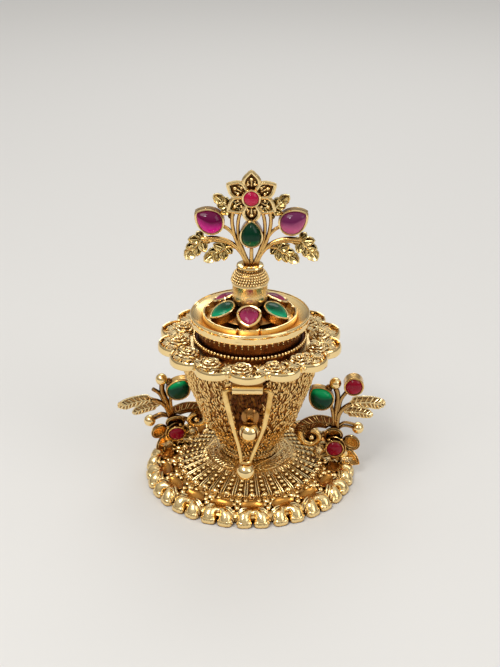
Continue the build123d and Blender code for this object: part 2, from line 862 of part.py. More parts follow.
with BuildPart() as tree_stems:
    with BuildSketch(tree_plane):
        for first, middle, last, width in tree_stem_arcs:
            for side in (-1, 1):
                with BuildLine():
                    ThreePointArc(*[(-side * p[0], p[1]) for p in (first, middle, last)])
                trace(line_width=width)
        with Locations((0, tree_green_z / 2)):
            Rectangle(trunk_width, tree_green_z)
        for outline in (*tree_rooms, petals.sketch, leaves.sketch):
            add(outline, mode=Mode.SUBTRACT)
    extrude(amount=tree_half, both=True)
    with BuildSketch(Plane.XY.offset(pot_neck - pot_bore_depth)):
        Circle(root_radius)
    extrude(amount=pot_mouth - pot_neck + pot_bore_depth)
    add(pot_lip.part, mode=Mode.SUBTRACT)
save(tree_stems, "tree_stems")

mouth = tree_plane.location * Pos(0, 0, tree_half + tree_bezel_rise)
with BuildPart() as tree_bezels:
    add([mouth * seat * bezel_body(radius, tip, tree_bezel_depth)
         for name, seat, radius, tip in tree_settings])
save(tree_bezels, "tree_bezels")

for wanted in ("tree_ruby", "tree_green_stone", "tree_pink_stones"):
    with BuildPart() as stones:
        add([mouth * seat * stone_body(radius, tip)
             for name, seat, radius, tip in tree_settings if name == wanted])
    save(stones, wanted)

# Front latch: tube under the flange, the loop that turns in it and the ball at its tip
with BuildPart() as latch_tube:
    with BuildSketch(Plane.YZ):
        with Locations((latch_y, (latch_z + flange_bottom) / 2)):
            Rectangle(sheet, flange_bottom - latch_z)
        with Locations((latch_y, latch_z)):
            Circle(tube_radius)
        with Locations((latch_y, latch_z)):
            Circle(latch_wire + running, mode=Mode.SUBTRACT)
    extrude(amount=tube_length / 2, both=True)
save(latch_tube, "latch_tube")

loop_plane = Plane(origin=(0, latch_y, 0), x_dir=(1, 0, 0), z_dir=(0, -1, 0))
loop_start = tube_length / 2 + end_play
stub_inner = tube_length / 2 - stub_length
stub_outer = loop_start + root_depth
with BuildPart() as latch_tip_ball:
    with Locations((tip_ball_x, latch_y, tip_ball_z)):
        add(ball_body(tip_ball_radius))
save(latch_tip_ball, "latch_tip_ball")

with BuildPart() as latch_loop:
    with BuildSketch(loop_plane):
        for side, hip, knee, foot in loop_legs:
            with BuildLine():
                FilletPolyline(
                    (side * loop_start, latch_z), (side * loop_shoulder, latch_z), hip, knee, foot,
                    radius=(shoulder_radius, loop_bend, loop_bend),
                )
            trace(line_width=strap_width)
        left_foot, right_foot = (leg[-1][0] for leg in loop_legs)
        with Locations(((left_foot + right_foot) / 2, loop_end)):
            Rectangle(right_foot - left_foot, strap_width)
    extrude(amount=strap_depth / 2, both=True)
    for side in (-1, 1):
        middle = side * (stub_inner + stub_outer) / 2
        with Locations(Location((middle, latch_y, latch_z), (0, 90, 0))):
            Cylinder(latch_wire, stub_outer - stub_inner)
    add(latch_tip_ball.part, mode=Mode.SUBTRACT)
save(latch_loop, "latch_loop")
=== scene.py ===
# %% [markdown]
# # A sindoor box in antique gold
# This box holds vermilion powder. A domed base with a beaded rim carries a small cup, and
# a hinged lid with a scalloped flange closes it. A pot with a flowering tree stands on the
# lid, a loop hooks over a knob at the front, and a gem-set spray stands at each side.
# The solids were made as CAD and are loaded as a fixed frame. Each cell below makes one
# detailed piece in the same place, so that the moving parts still fit.

# %% Load the frame
import bpy
import bmesh
from math import acos, atan2, cos, pi, radians, sin
from random import Random
from mathutils import Matrix, Vector


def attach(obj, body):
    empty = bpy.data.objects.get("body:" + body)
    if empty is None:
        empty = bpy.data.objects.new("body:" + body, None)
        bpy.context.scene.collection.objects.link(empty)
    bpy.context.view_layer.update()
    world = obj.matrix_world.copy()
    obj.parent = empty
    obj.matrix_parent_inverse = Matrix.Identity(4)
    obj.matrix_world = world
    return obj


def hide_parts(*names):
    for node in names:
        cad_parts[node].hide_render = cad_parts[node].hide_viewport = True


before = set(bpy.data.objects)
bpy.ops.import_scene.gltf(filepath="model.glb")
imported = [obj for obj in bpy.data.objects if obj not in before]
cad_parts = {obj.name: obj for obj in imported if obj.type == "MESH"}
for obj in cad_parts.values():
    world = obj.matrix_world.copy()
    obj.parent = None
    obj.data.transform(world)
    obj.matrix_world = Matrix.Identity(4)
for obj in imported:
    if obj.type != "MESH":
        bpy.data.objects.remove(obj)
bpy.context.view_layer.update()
MM = 0.001
FRONT = -90.0
print("nodes loaded:", len(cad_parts))

# %% [markdown]
# Small parts are easier to model in millimetres, so each mesh is built in millimetres and
# scaled once when it is finished. A piece then gets its material and its body, and the CAD
# node that it stands for is hidden. Smooth shading with sharp edges above an angle keeps
# turned parts round and cut parts crisp.

# %% Finish a piece
MERGE = 0.0005


def finish(name, bm, material, body, node=None, sharp=40.0):
    """Turns a bmesh in millimetres into a piece of the scene that rides on a body."""
    bmesh.ops.remove_doubles(bm, verts=bm.verts, dist=MERGE)
    bmesh.ops.recalc_face_normals(bm, faces=bm.faces)
    bmesh.ops.scale(bm, vec=(MM, MM, MM), verts=bm.verts)
    mesh = bpy.data.meshes.new(name)
    bm.to_mesh(mesh)
    bm.free()
    mesh.shade_smooth()
    mesh.set_sharp_from_angle(angle=radians(sharp))
    mesh.materials.append(material)
    piece = bpy.data.objects.new(name, mesh)
    bpy.context.scene.collection.objects.link(piece)
    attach(piece, body)
    if node:
        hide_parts(node)
    print(f"{name}: {len(mesh.polygons)} faces")


# %% [markdown]
# Much of the work is the same few shapes in many places: beads, wires, leaves and turned
# rings. `turn` spins a profile about the upright axis, as on a lathe. `stamp` copies a
# small finished mesh to a list of places. `wire` draws a round or flattened wire by
# extruding a circle from one point to the next.

# %% Turned rings, bands and copies
def turn(bm, profile, steps=96):
    """Spins (radius, height) points once round the upright axis."""
    verts = [bm.verts.new((r, 0, z)) for r, z in profile]
    edges = [bm.edges.new(pair) for pair in zip(verts, verts[1:])]
    bmesh.ops.spin(bm, geom=verts + edges, cent=(0, 0, 0), axis=(0, 0, 1), dvec=(0, 0, 0),
                   angle=2 * pi, steps=steps, use_merge=True)


def ring(bm, profile, steps=96):
    """Spins a closed profile, so that the ring is solid all round."""
    turn(bm, list(profile) + [profile[0]], steps)


def band(bm, outlines):
    """A band through (outline, height) pairs, each bridged to the next and the last to the first."""
    loops = []
    for outline, height in outlines:
        verts = [bm.verts.new((x, y, height)) for x, y in outline]
        loops.append([bm.edges.new((verts[n - 1], verts[n])) for n in range(len(verts))])
    for first, second in zip(loops, loops[1:] + loops[:1]):
        bmesh.ops.bridge_loops(bm, edges=first + second)


def solid(build, *args, **more):
    """A small mesh for stamping, made by one of the builders in this lesson."""
    bm = bmesh.new()
    build(bm, *args, **more)
    bmesh.ops.recalc_face_normals(bm, faces=bm.faces)
    mesh = bpy.data.meshes.new("stamp")
    bm.to_mesh(mesh)
    bm.free()
    return mesh


def stamp(bm, mesh, places):
    """Copies a small mesh to each place, a matrix in millimetres."""
    for place in places:
        copy = mesh.copy()
        copy.transform(place)
        bm.from_mesh(copy)
        bpy.data.meshes.remove(copy)


# %% Places, globes and blocks
def at(x=0.0, y=0.0, z=0.0):
    return Matrix.Translation((x, y, z))


def turned_by(angle, axis="Z"):
    return Matrix.Rotation(radians(angle), 4, axis)


def sized(x, y=None, z=None):
    y = x if y is None else y
    return Matrix.Diagonal((x, y, y if z is None else z, 1))


def around(count, radius, z=0.0, first=FRONT, tilt=0.0, size=(1,)):
    """Places of this size on a circle; X looks outwards and Z leans outwards by tilt."""
    turns = [first + n * 360 / count for n in range(count)]
    return [turned_by(a) @ at(radius, 0, z) @ turned_by(tilt, "Y") @ sized(*size) for a in turns]


def globe(bm, radius, across, up, place=Matrix.Identity(4)):
    bmesh.ops.create_uvsphere(bm, u_segments=across, v_segments=up, radius=radius, matrix=place)


def block(bm, place, x, y, z):
    """A box of this size about a place; returns its corners."""
    return bmesh.ops.create_cube(bm, size=1.0, matrix=place @ sized(x, y, z))["verts"]


# %% Wires
NEARLY_ALONG = 0.05


def wire(bm, points, widths, sides, flat=1.0, up=(0, 0, 1), closed=False):
    """A wire through the points; flat below 1 thins it across the direction `up`."""
    points = [Vector(p) for p in points]
    if isinstance(widths, (int, float)):
        widths = [widths] * len(points)
    up = Vector(up).normalized()
    places = []
    for n, point in enumerate(points):
        back = points[n - 1] if n or closed else point
        ahead = points[(n + 1) % len(points)] if n + 1 < len(points) or closed else point
        along = (ahead - back).normalized()
        side = up.cross(along)
        if side.length < NEARLY_ALONG:
            side = Vector((1, 0.2, 0)).cross(along)
        side.normalize()
        rise = along.cross(side)
        basis = Matrix((side, rise, along)).transposed().to_4x4()
        places.append(Matrix.Translation(point) @ basis @ sized(widths[n], widths[n] * flat, 1))
    start = bmesh.ops.create_circle(bm, segments=sides, radius=1.0, matrix=places[0])["verts"]
    first = list({e for v in start for e in v.link_edges})
    loop = first
    before = places[0]
    for place in places[1:]:
        grown = bmesh.ops.extrude_edge_only(bm, edges=loop)["geom"]
        verts = [g for g in grown if isinstance(g, bmesh.types.BMVert)]
        loop = [g for g in grown if isinstance(g, bmesh.types.BMEdge)]
        bmesh.ops.transform(bm, matrix=place @ before.inverted(), verts=verts)
        before = place
    if closed:
        bmesh.ops.bridge_loops(bm, edges=loop + first)
    else:
        bmesh.ops.holes_fill(bm, edges=first + loop, sides=sides)


def smooth_path(points, per_span):
    """Points on a soft curve through a few given ones."""
    points = [Vector(p) for p in points]
    ends = [points[0] * 2 - points[1]] + points + [points[-1] * 2 - points[-2]]
    path = []
    for n in range(1, len(ends) - 2):
        a, b, c, d = ends[n - 1:n + 3]
        for step in range(per_span):
            t = step / per_span
            path.append(0.5 * (2 * b + (c - a) * t + (2 * a - 5 * b + 4 * c - d) * t * t
                               + (3 * b - a - 3 * c + d) * t * t * t))
    return path + [points[-1]]


# %% Plates and mounds
def lifted(bm, face, rise, share=1.0, centre=(0, 0), base=False):
    """Extrudes a face upwards and draws it in; the old face stays only as a base."""
    grown = bmesh.ops.extrude_face_region(bm, geom=[face])["geom"]
    if not base:
        bmesh.ops.delete(bm, geom=[face], context="FACES_ONLY")
    verts = [g for g in grown if isinstance(g, bmesh.types.BMVert)]
    bmesh.ops.translate(bm, verts=verts, vec=(0, 0, rise))
    bmesh.ops.scale(bm, vec=(share, share, 1), verts=verts, space=at(-centre[0], -centre[1]))
    return [g for g in grown if isinstance(g, bmesh.types.BMFace)][0]


def slab(bm, outline, low, high):
    """A flat plate of this outline between two heights."""
    face = bm.faces.new([bm.verts.new((x, y, low)) for x, y in outline])
    lifted(bm, face, high - low, base=True)


def mound(bm, outline, levels, centre=(0, 0)):
    """A domed or hollow plate: its outline is lifted and drawn in, level by level."""
    face = bm.faces.new([bm.verts.new((x, y, levels[0][1])) for x, y in outline])
    for n, (level, above) in enumerate(zip(levels, levels[1:])):
        face = lifted(bm, face, above[1] - level[1], above[0] / level[0], centre, base=n == 0)


# %% [markdown]
# A material is a small network of nodes. These three helpers start one, add a node with
# its values, and make a ramp between two colours.

# %% Shader nodes
def link(tree, out, into):
    tree.links.new(out, into)


def start_material(name):
    material = bpy.data.materials.new(name)
    material.use_nodes = True
    return material, material.node_tree, material.node_tree.nodes["Principled BSDF"]


def add_node(tree, kind, inputs=None, **attributes):
    node = tree.nodes.new("ShaderNode" + kind)
    for key, value in attributes.items():
        setattr(node, key, value)
    for key, value in (inputs or {}).items():
        node.inputs[key].default_value = value
    return node


def add_ramp(tree, low, low_colour, high, high_colour):
    ramp = add_node(tree, "ValToRGB")
    ends = ramp.color_ramp.elements
    ends[0].position = low
    ends[0].color = (*low_colour, 1)
    ends[1].position = high
    ends[1].color = (*high_colour, 1)
    return ramp


# %% [markdown]
# Antique gold plate isn't one colour. High places are polished to a pale warm yellow, and
# the recesses keep a dark brown patina, deepened by painted shade where light would not
# reach. The Ambient Occlusion node finds the recesses of the real shape, and a little noise
# keeps the change from looking mechanical. A second noise drives the bump: fine grain on
# cast pieces, long ripples on polished ones.

# %% Gold materials
SPECKLE = 0.3
WEAR = 0.22
BUMP_DEPTH = 0.4


def gold(name, bright, middle, dark, rough=0.2, reach=0.9, edge=(0.3, 0.8), grain=0.0,
         grain_size=0.4, ripple=0.0, ripple_size=2.0):
    """Antique gold: bright on the high places; patina and painted shade in recesses within `reach`
    millimetres.
    """
    material, tree, shader = start_material(name)
    shader.inputs["Metallic"].default_value = 1.0
    place = add_node(tree, "TexCoord")
    speckle = add_node(tree, "TexNoise", {"Scale": 1 / (grain_size * MM), "Detail": 3.0})
    link(tree, place.outputs["Object"], speckle.inputs["Vector"])
    patina_and_shade = add_node(tree, "AmbientOcclusion", {"Distance": reach * MM}, samples=8)
    blend = add_node(tree, "Math", {1: SPECKLE}, operation="MULTIPLY_ADD")
    link(tree, speckle.outputs["Fac"], blend.inputs[0])
    link(tree, patina_and_shade.outputs["AO"], blend.inputs[2])
    shift = add_node(tree, "Math", {1: SPECKLE / 2}, operation="SUBTRACT")
    link(tree, blend.outputs[0], shift.inputs[0])
    ramp = add_ramp(tree, edge[0], dark, edge[1], bright)
    half_way = ramp.color_ramp.elements.new((edge[0] + edge[1]) / 2)
    half_way.color = (*middle, 1)
    link(tree, shift.outputs[0], ramp.inputs["Fac"])
    link(tree, ramp.outputs["Color"], shader.inputs["Base Color"])
    wear = add_node(tree, "MapRange", {"To Min": rough + WEAR, "To Max": rough})
    link(tree, shift.outputs[0], wear.inputs["Value"])
    link(tree, wear.outputs["Result"], shader.inputs["Roughness"])
    strength, size = (grain, grain_size) if grain else (ripple, ripple_size)
    if strength:
        noise = add_node(tree, "TexNoise", {"Scale": 1 / (size * MM), "Detail": 2.0})
        link(tree, place.outputs["Object"], noise.inputs["Vector"])
        bump = add_node(tree, "Bump", {"Strength": strength, "Distance": size * MM * BUMP_DEPTH})
        link(tree, noise.outputs["Fac"], bump.inputs["Height"])
        link(tree, bump.outputs["Normal"], shader.inputs["Normal"])
    return material


PALE = (1.0, 0.75, 0.36)
polished = gold("polished_gold", PALE, (0.86, 0.52, 0.16), (0.32, 0.12, 0.02), rough=0.07,
                ripple=0.12, ripple_size=3.0)
# Strap gold darkens within 3 mm of other surfaces: painted shade on the legs' inner sides near the cup, and
# in the tree's settings.
shaded_strap = gold("strap_gold_painted_shade", (1.0, 0.70, 0.28), (0.72, 0.39, 0.085), (0.24, 0.09, 0.013),
                rough=0.14, reach=3.0, edge=(0.78, 1.08), grain_size=2.6, ripple=0.3, ripple_size=3.0)
cast = gold("cast_gold", PALE, (0.72, 0.42, 0.11), (0.12, 0.04, 0.006), rough=0.13,
            grain=0.35, grain_size=0.35)
carved = gold("carved_gold", (1.0, 0.68, 0.27), (0.52, 0.26, 0.06), (0.07, 0.02, 0.003),
              rough=0.17, reach=0.6, edge=(0.25, 0.85), grain=0.4, grain_size=0.25)
matte = gold("matte_gold", (1.0, 0.78, 0.40), (0.64, 0.37, 0.09), (0.06, 0.017, 0.002),
             edge=(0.35, 0.9), grain=0.5, grain_size=0.2)
crumpled = gold("crumpled_gold", (1.0, 0.79, 0.42), (0.84, 0.55, 0.19), (0.27, 0.11, 0.02),
                rough=0.17, reach=0.6, edge=(0.25, 0.75), grain=0.5, grain_size=0.3)
olive = gold("olive_gold", (0.95, 0.75, 0.36), (0.46, 0.30, 0.075), (0.07, 0.03, 0.004),
             rough=0.16, reach=0.8, edge=(0.35, 0.9), grain=0.35, grain_size=0.35)
twig = gold("brown_gold", (0.80, 0.50, 0.17), (0.34, 0.16, 0.04), (0.05, 0.016, 0.003),
            rough=0.16, reach=1.2, edge=(0.35, 0.95), grain=0.35)
# Dark stalk gold: painted shade on the sprays' stems and blades, against their brighter ribs.
stalk = gold("stalk_gold", (0.54, 0.32, 0.11), (0.20, 0.09, 0.025), (0.03, 0.01, 0.002),
             rough=0.12, reach=1.6, edge=(0.5, 1.05), grain=0.5)
bronze = gold("bronze_gold", (0.42, 0.20, 0.055), (0.15, 0.062, 0.016), (0.02, 0.007, 0.002),
              reach=0.6, edge=(0.35, 0.95), grain=0.2, grain_size=0.3)
brown = gold("chased_gold", (0.90, 0.61, 0.26), (0.48, 0.26, 0.065), (0.05, 0.014, 0.002),
             rough=0.22, reach=1.0, edge=(0.4, 1.0), grain=0.8, grain_size=0.22)
channel = gold("channel_gold", (1.0, 0.74, 0.35), (0.96, 0.60, 0.20), (0.66, 0.32, 0.055),
               reach=1.6, edge=(0.4, 0.95), ripple=0.05)
# Dark orange gold for the scoops: a painted reflection.
scoop_painted_reflection = gold("scoop_gold_painted_reflection", (0.66, 0.32, 0.07), (0.42, 0.18, 0.032), (0.12, 0.036, 0.006),
               rough=0.22, reach=2.2, edge=(0.3, 1.0))
satin = gold("satin_gold", (1.0, 0.79, 0.42), (0.94, 0.66, 0.27), (0.46, 0.22, 0.04),
             rough=0.26, reach=1.2)
umber = gold("umber_gold", (0.30, 0.13, 0.032), (0.17, 0.068, 0.015), (0.03, 0.01, 0.002),
             rough=0.26, grain=0.6, grain_size=0.3)
# Near-black gold for dark ground, also used as painted shade: behind the dome's large granules and on the
# ornament behind the loop.
dark_and_shade_gold = gold("dark_gold_and_painted_shade", (0.15, 0.048, 0.014), (0.07, 0.021, 0.007), (0.01, 0.004, 0.001),
            rough=0.28, grain=0.5, grain_size=0.3)
print("golds:", [m.name for m in bpy.data.materials])

# %% [markdown]
# The stones are glass cabochons in closed settings. Light that enters on one side leaves
# near the opposite edge, so each stone has a glowing part and a deep one. Both are painted
# into the colour: a painted glow and a painted shade, tied to the way the surface faces,
# so they hold from every side.

# %% Stone materials
CLOUD_SCALE = 500.0
CLOUD_SHARE = 0.24
GLASS = {"Roughness": 0.06, "IOR": 1.48, "Coat Roughness": 0.03, "Specular IOR Level": 0.18}


def stone(name, painted_shade_colour, painted_glow_colour, low, high, coat=0.25):
    """Glass with a painted glow where its surface faces `low` and painted shade where it faces `high`; 1 is
    up.
    """
    material, tree, shader = start_material(name)
    for key, value in GLASS.items():
        shader.inputs[key].default_value = value
    shader.inputs["Coat Weight"].default_value = coat
    place = add_node(tree, "TexCoord")
    facing = add_node(tree, "SeparateXYZ")
    link(tree, place.outputs["Normal"], facing.inputs["Vector"])
    upwards = low < high
    spread = add_node(tree, "MapRange", {"From Min": min(low, high), "From Max": max(low, high),
                                         "To Min": 0.0 if upwards else 1.0, "To Max": float(upwards)},
                      interpolation_type="SMOOTHSTEP")
    link(tree, facing.outputs["Z"], spread.inputs["Value"])
    cloud = add_node(tree, "TexNoise", {"Scale": CLOUD_SCALE})
    link(tree, place.outputs["Object"], cloud.inputs["Vector"])
    sway = add_node(tree, "Math", {1: CLOUD_SHARE}, operation="MULTIPLY_ADD")
    link(tree, cloud.outputs["Fac"], sway.inputs[0])
    link(tree, spread.outputs["Result"], sway.inputs[2])
    ramp = add_ramp(tree, 0.1, painted_glow_colour, 1.0, painted_shade_colour)
    link(tree, sway.outputs[0], ramp.inputs["Fac"])
    link(tree, ramp.outputs["Color"], shader.inputs["Base Color"])
    return material


ruby = stone("ruby_glass", (0.24, 0.0, 0.014), (0.55, 0.006, 0.05), -1.2, 0.4)
green = stone("green_glass", (0.0, 0.03, 0.012), (0.0, 0.17, 0.05), -0.75, 0.05, 0.12)
sprig_green = stone("bright_green_glass", (0.0, 0.04, 0.016), (0.0, 0.42, 0.13), 0.62, -0.05, 0.08)
emerald = stone("emerald_glass", (0.0, 0.05, 0.022), (0.0, 0.32, 0.14), 0.6, 0.98, 0.12)
magenta = stone("magenta_glass", (0.12, 0.0, 0.04), (0.85, 0.01, 0.34), -0.62, 0.38, 0.22)
dusty = stone("dusty_pink_glass", (0.13, 0.014, 0.07), (0.68, 0.13, 0.30), -0.62, 0.42, 0.22)
wine = stone("wine_pink_glass", (0.14, 0.003, 0.03), (0.36, 0.025, 0.10), 0.6, 1.15, 0.3)
rose = stone("rose_glass", (0.42, 0.004, 0.05), (0.72, 0.05, 0.12), -0.8, 0.4)

# %% [markdown]
# ## The base rim
# The rim is a ring of paired toes, each pair bridged by a bright saddle with fine ribs
# down its sides. One unit is modelled once and stamped round the rim, as a jeweller would
# cast one and solder the ring from copies.

# %% One unit of the rim
RIM_UNITS = 18
RIM_FIRST = FRONT + 3.3
TOE_RADIUS, TOE_SIDE, TOE_SUNK = 21.4, 1.76, 0.5
TOE_WIDTH, TOE_HEIGHT, TOE_ROUND = 3.3, 2.15, 1.02
SADDLE_LEG = [(21.35, TOE_SIDE, 0.3), (21.4, TOE_SIDE, 1.2), (21.2, 1.72, 1.75), (20.85, 1.4, 2.15),
              (20.5, 0.95, 2.35), (20.3, 0.45, 2.25)]
SADDLE_WIDTHS = [1.3, 1.58, 1.42, 1.12, 0.86, 0.68]
RIM_SECTION = [(18.42, 0), (20.9, 0), (21.2, 0.4), (21.2, 1.5), (20.6, 2.05), (19.0, 2.2), (17.4, 2.35),
               (17.2, 2.1), (18.42, 1.45)]
RIBS, RIB_RADIUS, RIB_STEP, RIB_FALL = 4, 19.9, 0.6, 0.12


def toe(bm, side):
    """A rounded block under one end of the saddle."""
    place = at(TOE_RADIUS, side * TOE_SIDE, -TOE_SUNK) @ at(z=TOE_HEIGHT / 2)
    verts = block(bm, place, TOE_WIDTH, TOE_WIDTH, TOE_HEIGHT)
    edges = list({e for v in verts for e in v.link_edges})
    bmesh.ops.bevel(bm, geom=verts + edges, offset=TOE_ROUND, offset_type="OFFSET", segments=4,
                    profile=0.5, affect="EDGES", material=-1)


def rim_unit(bm):
    """Two toes under one thick polished saddle, with fine ribs down its outer sides."""
    for side in (-1, 1):
        toe(bm, side)
    saddle = SADDLE_LEG + [(20.3, 0.0, 2.2)] + [(x, -y, z) for x, y, z in reversed(SADDLE_LEG)]
    wire(bm, saddle, SADDLE_WIDTHS + [0.62] + SADDLE_WIDTHS[::-1], 24, up=(1, 0, 0))
    for side in (-1, 1):
        for n in range(RIBS):
            x, fall = RIB_RADIUS + RIB_STEP * n, RIB_FALL * n * n
            wire(bm, [(x - 0.2, side * 1.2, 3.0 - 0.4 * fall), (x, side * 2.15, 2.95 - fall),
                      (x + 0.2, side * 2.95, 2.3 - 0.9 * fall), (x + 0.35, side * 3.5, 1.2 - 0.5 * fall)],
                 [0.14, 0.26, 0.27, 0.16], 6)
    for vert in bm.verts:
        vert.co.z = max(vert.co.z, 0.0)


bm = bmesh.new()
stamp(bm, solid(rim_unit), around(RIM_UNITS, 0, first=RIM_FIRST))
ring(bm, RIM_SECTION)
finish("rim_units", bm, cast, "root", "base_rim")

# %% [markdown]
# Behind each saddle lies a small polished scoop. Its dark orange gold is a painted
# reflection, the orange that a deep hollow would mirror. It is an oval plate with a raised
# edge and a hollow middle, tilted outwards.

# %% Scoops behind the saddles
SCOOP_RADIUS, SCOOP_HEIGHT, SCOOP_TILT = 18.7, 2.75, 20
SCOOP_HALF_STEPS = 14
SCOOP_LEVELS = [(1.0, -0.9), (1.0, 0.24), (0.96, 0.32), (0.9, 0.22), (0.7, 0.02), (0.4, -0.12), (0.1, -0.15)]


def scoop(bm):
    turns = [n * pi / SCOOP_HALF_STEPS for n in range(2 * SCOOP_HALF_STEPS)]
    mound(bm, [(1.3 * cos(a), 2.5 * sin(a)) for a in turns], SCOOP_LEVELS)


bm = bmesh.new()
stamp(bm, solid(scoop), [p @ turned_by(SCOOP_TILT, "Y")
                         for p in around(RIM_UNITS, SCOOP_RADIUS, SCOOP_HEIGHT, RIM_FIRST)])
finish("rim_scoops", bm, scoop_painted_reflection, "root")

# %% [markdown]
# Granules of several sizes lie on the joints between the scoops. Melted balls are never
# alike, so each one is stretched and turned a little by chance.

# %% Grains between the scoops
# Each row: turn from the joint, radius, height, width and thickness.
GRAIN_ROWS = ((0, 16.9, 2.75, 1.0, 0.72), (2.6, 17.9, 2.65, 0.66, 0.6), (-2.4, 18.1, 2.65, 0.7, 0.52),
              (0.3, 19.1, 2.5, 0.78, 0.6), (-1.5, 20.1, 2.2, 0.5, 0.42), (5.2, 16.7, 2.75, 0.62, 0.5),
              (-5.0, 16.7, 2.75, 0.66, 0.5))
chance_base = Random(5)
bm = bmesh.new()
grain_ball = solid(globe, 1.0, 10, 8)
joints = RIM_FIRST + 180 / RIM_UNITS
for lean, radius, height, wide, tall in GRAIN_ROWS:
    stamp(bm, grain_ball, [p @ turned_by(chance_base.uniform(-40, 40))
                           @ sized(wide * chance_base.uniform(0.85, 1.2), wide * 0.85, tall)
                           for p in around(RIM_UNITS, radius, height, joints + lean)])
finish("rim_grains", bm, cast, "root")

# %% [markdown]
# ## The base dome
# The dome is thin sheet, spun to a shallow cone. Everything on it follows its slope, so
# one function gives the height of its surface at any radius.

# %% Dome surface
DOME = [(18.36, 1.9), (8.6, 5.45), (6.3, 6.1), (3.2, 6.1)]
DOME_SHEET = 0.45
DOME_TILT = 20.0


def dome_height(radius):
    """Height of the dome's surface at a radius."""
    for (wide, low), (narrow, high) in zip(DOME, DOME[1:]):
        if radius >= narrow:
            return low + (wide - radius) / (wide - narrow) * (high - low)
    return DOME[-1][1]


bm = bmesh.new()
under = [(r, z - DOME_SHEET) for r, z in reversed(DOME)]
ring(bm, DOME + under, steps=144)
finish("dome_plate", bm, brown, "root", "base_plate")

# %% [markdown]
# Round the foot lie four curved petals with slanting ribs in a double outline, and a ring
# of short bars. They look like soldered wires, so one is drawn as wires and mirrored.

# %% Petals and hatching round the foot
# Outline and spine of a petal: degrees from the front, and radius.
PETAL = ((14, 8.65), (30, 9.05), (55, 9.05), (80, 9.2), (100, 9.65), (112, 10.2), (116, 9.6), (108, 8.1),
         (90, 6.9), (70, 6.5), (48, 6.6), (30, 6.9), (18, 7.7))
PETAL_SPINE = ((16, 8.3), (34, 8.1), (58, 7.9), (82, 8.1), (102, 8.9), (113, 9.8))
PETAL_ANGLE, PETAL_RADIUS = 66, 8.2
PETAL_LIFT, PETAL_RIB_LIFT = 0.06, 0.04
PETAL_RIBS, PETAL_RIB_FIRST, PETAL_RIB_STEP, PETAL_RIB_SLANT = 14, 22, 6.2, 3.5
BARS, BAR_RADII = 108, (9.5, 9.9, 10.3)


def on_dome(angle, radius, lift=0.0):
    """A point on the dome at an angle from the front."""
    turn_here = radians(FRONT + angle)
    return Vector((radius * cos(turn_here), radius * sin(turn_here), dome_height(radius) + lift))


def foot_petal(bm):
    """The thin double outline of a curved petal, with a spine and slanting ribs inside."""
    for share, thick in ((1.0, 0.17), (0.84, 0.1)):
        row = [on_dome(PETAL_ANGLE + (a - PETAL_ANGLE) * share, PETAL_RADIUS + (r - PETAL_RADIUS) * share,
                       PETAL_LIFT) for a, r in PETAL]
        wire(bm, smooth_path(row + [row[0]], 4)[:-1], thick, 6, closed=True)
    wire(bm, smooth_path([on_dome(a, r, PETAL_LIFT) for a, r in PETAL_SPINE], 4), 0.13, 6)
    for n in range(PETAL_RIBS):
        angle = PETAL_RIB_FIRST + n * PETAL_RIB_STEP
        middle = 8.1 + 0.9 * max(0.0, (angle - 82) / 30)
        for reach in (0.75, -0.85):
            wire(bm, [on_dome(angle, middle, PETAL_RIB_LIFT),
                      on_dome(angle + PETAL_RIB_SLANT, middle + reach, PETAL_RIB_LIFT)], 0.11, 5)


bm = bmesh.new()
petal = solid(foot_petal)
stamp(bm, petal, [turned_by(-8) @ sized(x, y, 1) for x in (1, -1) for y in (1, -1)])
bar = solid(wire, [(r, 0, dome_height(r) + 0.02) for r in BAR_RADII], 0.1, 4)
stamp(bm, bar, around(BARS, 0))
finish("foot_petals", bm, cast, "root", None)

# %% [markdown]
# Dust-fine grains fill the ground between the petals, and coarser rows of them climb the
# waist of the foot.

# %% Grains round the foot
FOOT_ROWS, FOOT_FIRST, FOOT_STEP = 8, 6.1, 0.42
WAIST_ROWS = ((5.95, 6.4, 0.3), (5.5, 6.9, 0.28), (5.2, 7.45, 0.28), (5.5, 8.05, 0.3))
WAIST_GRAINS = 46
bm = bmesh.new()
foot_grain = solid(globe, 1.0, 6, 4)
for row in range(FOOT_ROWS):
    radius = FOOT_FIRST + FOOT_STEP * row
    stamp(bm, foot_grain, [p @ sized(chance_base.uniform(0.1, 0.2))
                           for p in around(round(12 * radius), radius, dome_height(radius), 31 * row)])
for radius, height, size in WAIST_ROWS:
    stamp(bm, foot_grain, [p @ sized(size * chance_base.uniform(0.8, 1.2))
                           for p in around(WAIST_GRAINS, radius, height, 77 * height)])
finish("foot_grains", bm, matte, "root", None)

# %% [markdown]
# Rays of double wire run down the dome. One ray is drawn from four points on the slope
# and stamped twice in each of the 36 sectors.

# %% Radial wires
SECTORS = 36
# Each point of a ray: radius, lift over the dome and half width.
RAY = ((9.4, 0.06, 0.08), (12.0, 0.12, 0.11), (15.0, 0.2, 0.13), (15.4, -0.1, 0.1))
RAY_TURN, RAY_HALF_GAP = 5, 1.05
bm = bmesh.new()
ray = solid(wire, [(r, 0, dome_height(r) + lift) for r, lift, width in RAY],
            [width for r, lift, width in RAY], 6)
for lean in (-RAY_HALF_GAP, RAY_HALF_GAP):
    stamp(bm, ray, around(SECTORS, 0, first=RIM_FIRST + RAY_TURN + lean))
finish("ray_wires", bm, matte, "root", "base_ray_wires")

# %% [markdown]
# Between the rays run rows of granules that shrink towards the middle. The outermost is a
# large one with smaller ones at its foot, and behind it lies a flat dark patch of painted shade.

# %% Granules on the dome
# Each row: radius and size.
GRANULE_ROWS = ((14.0, 0.5), (12.9, 0.52), (11.8, 0.46), (10.7, 0.4))
CLUSTER_RADIUS, SHADE_PATCH_RADIUS = 15.45, 14.55


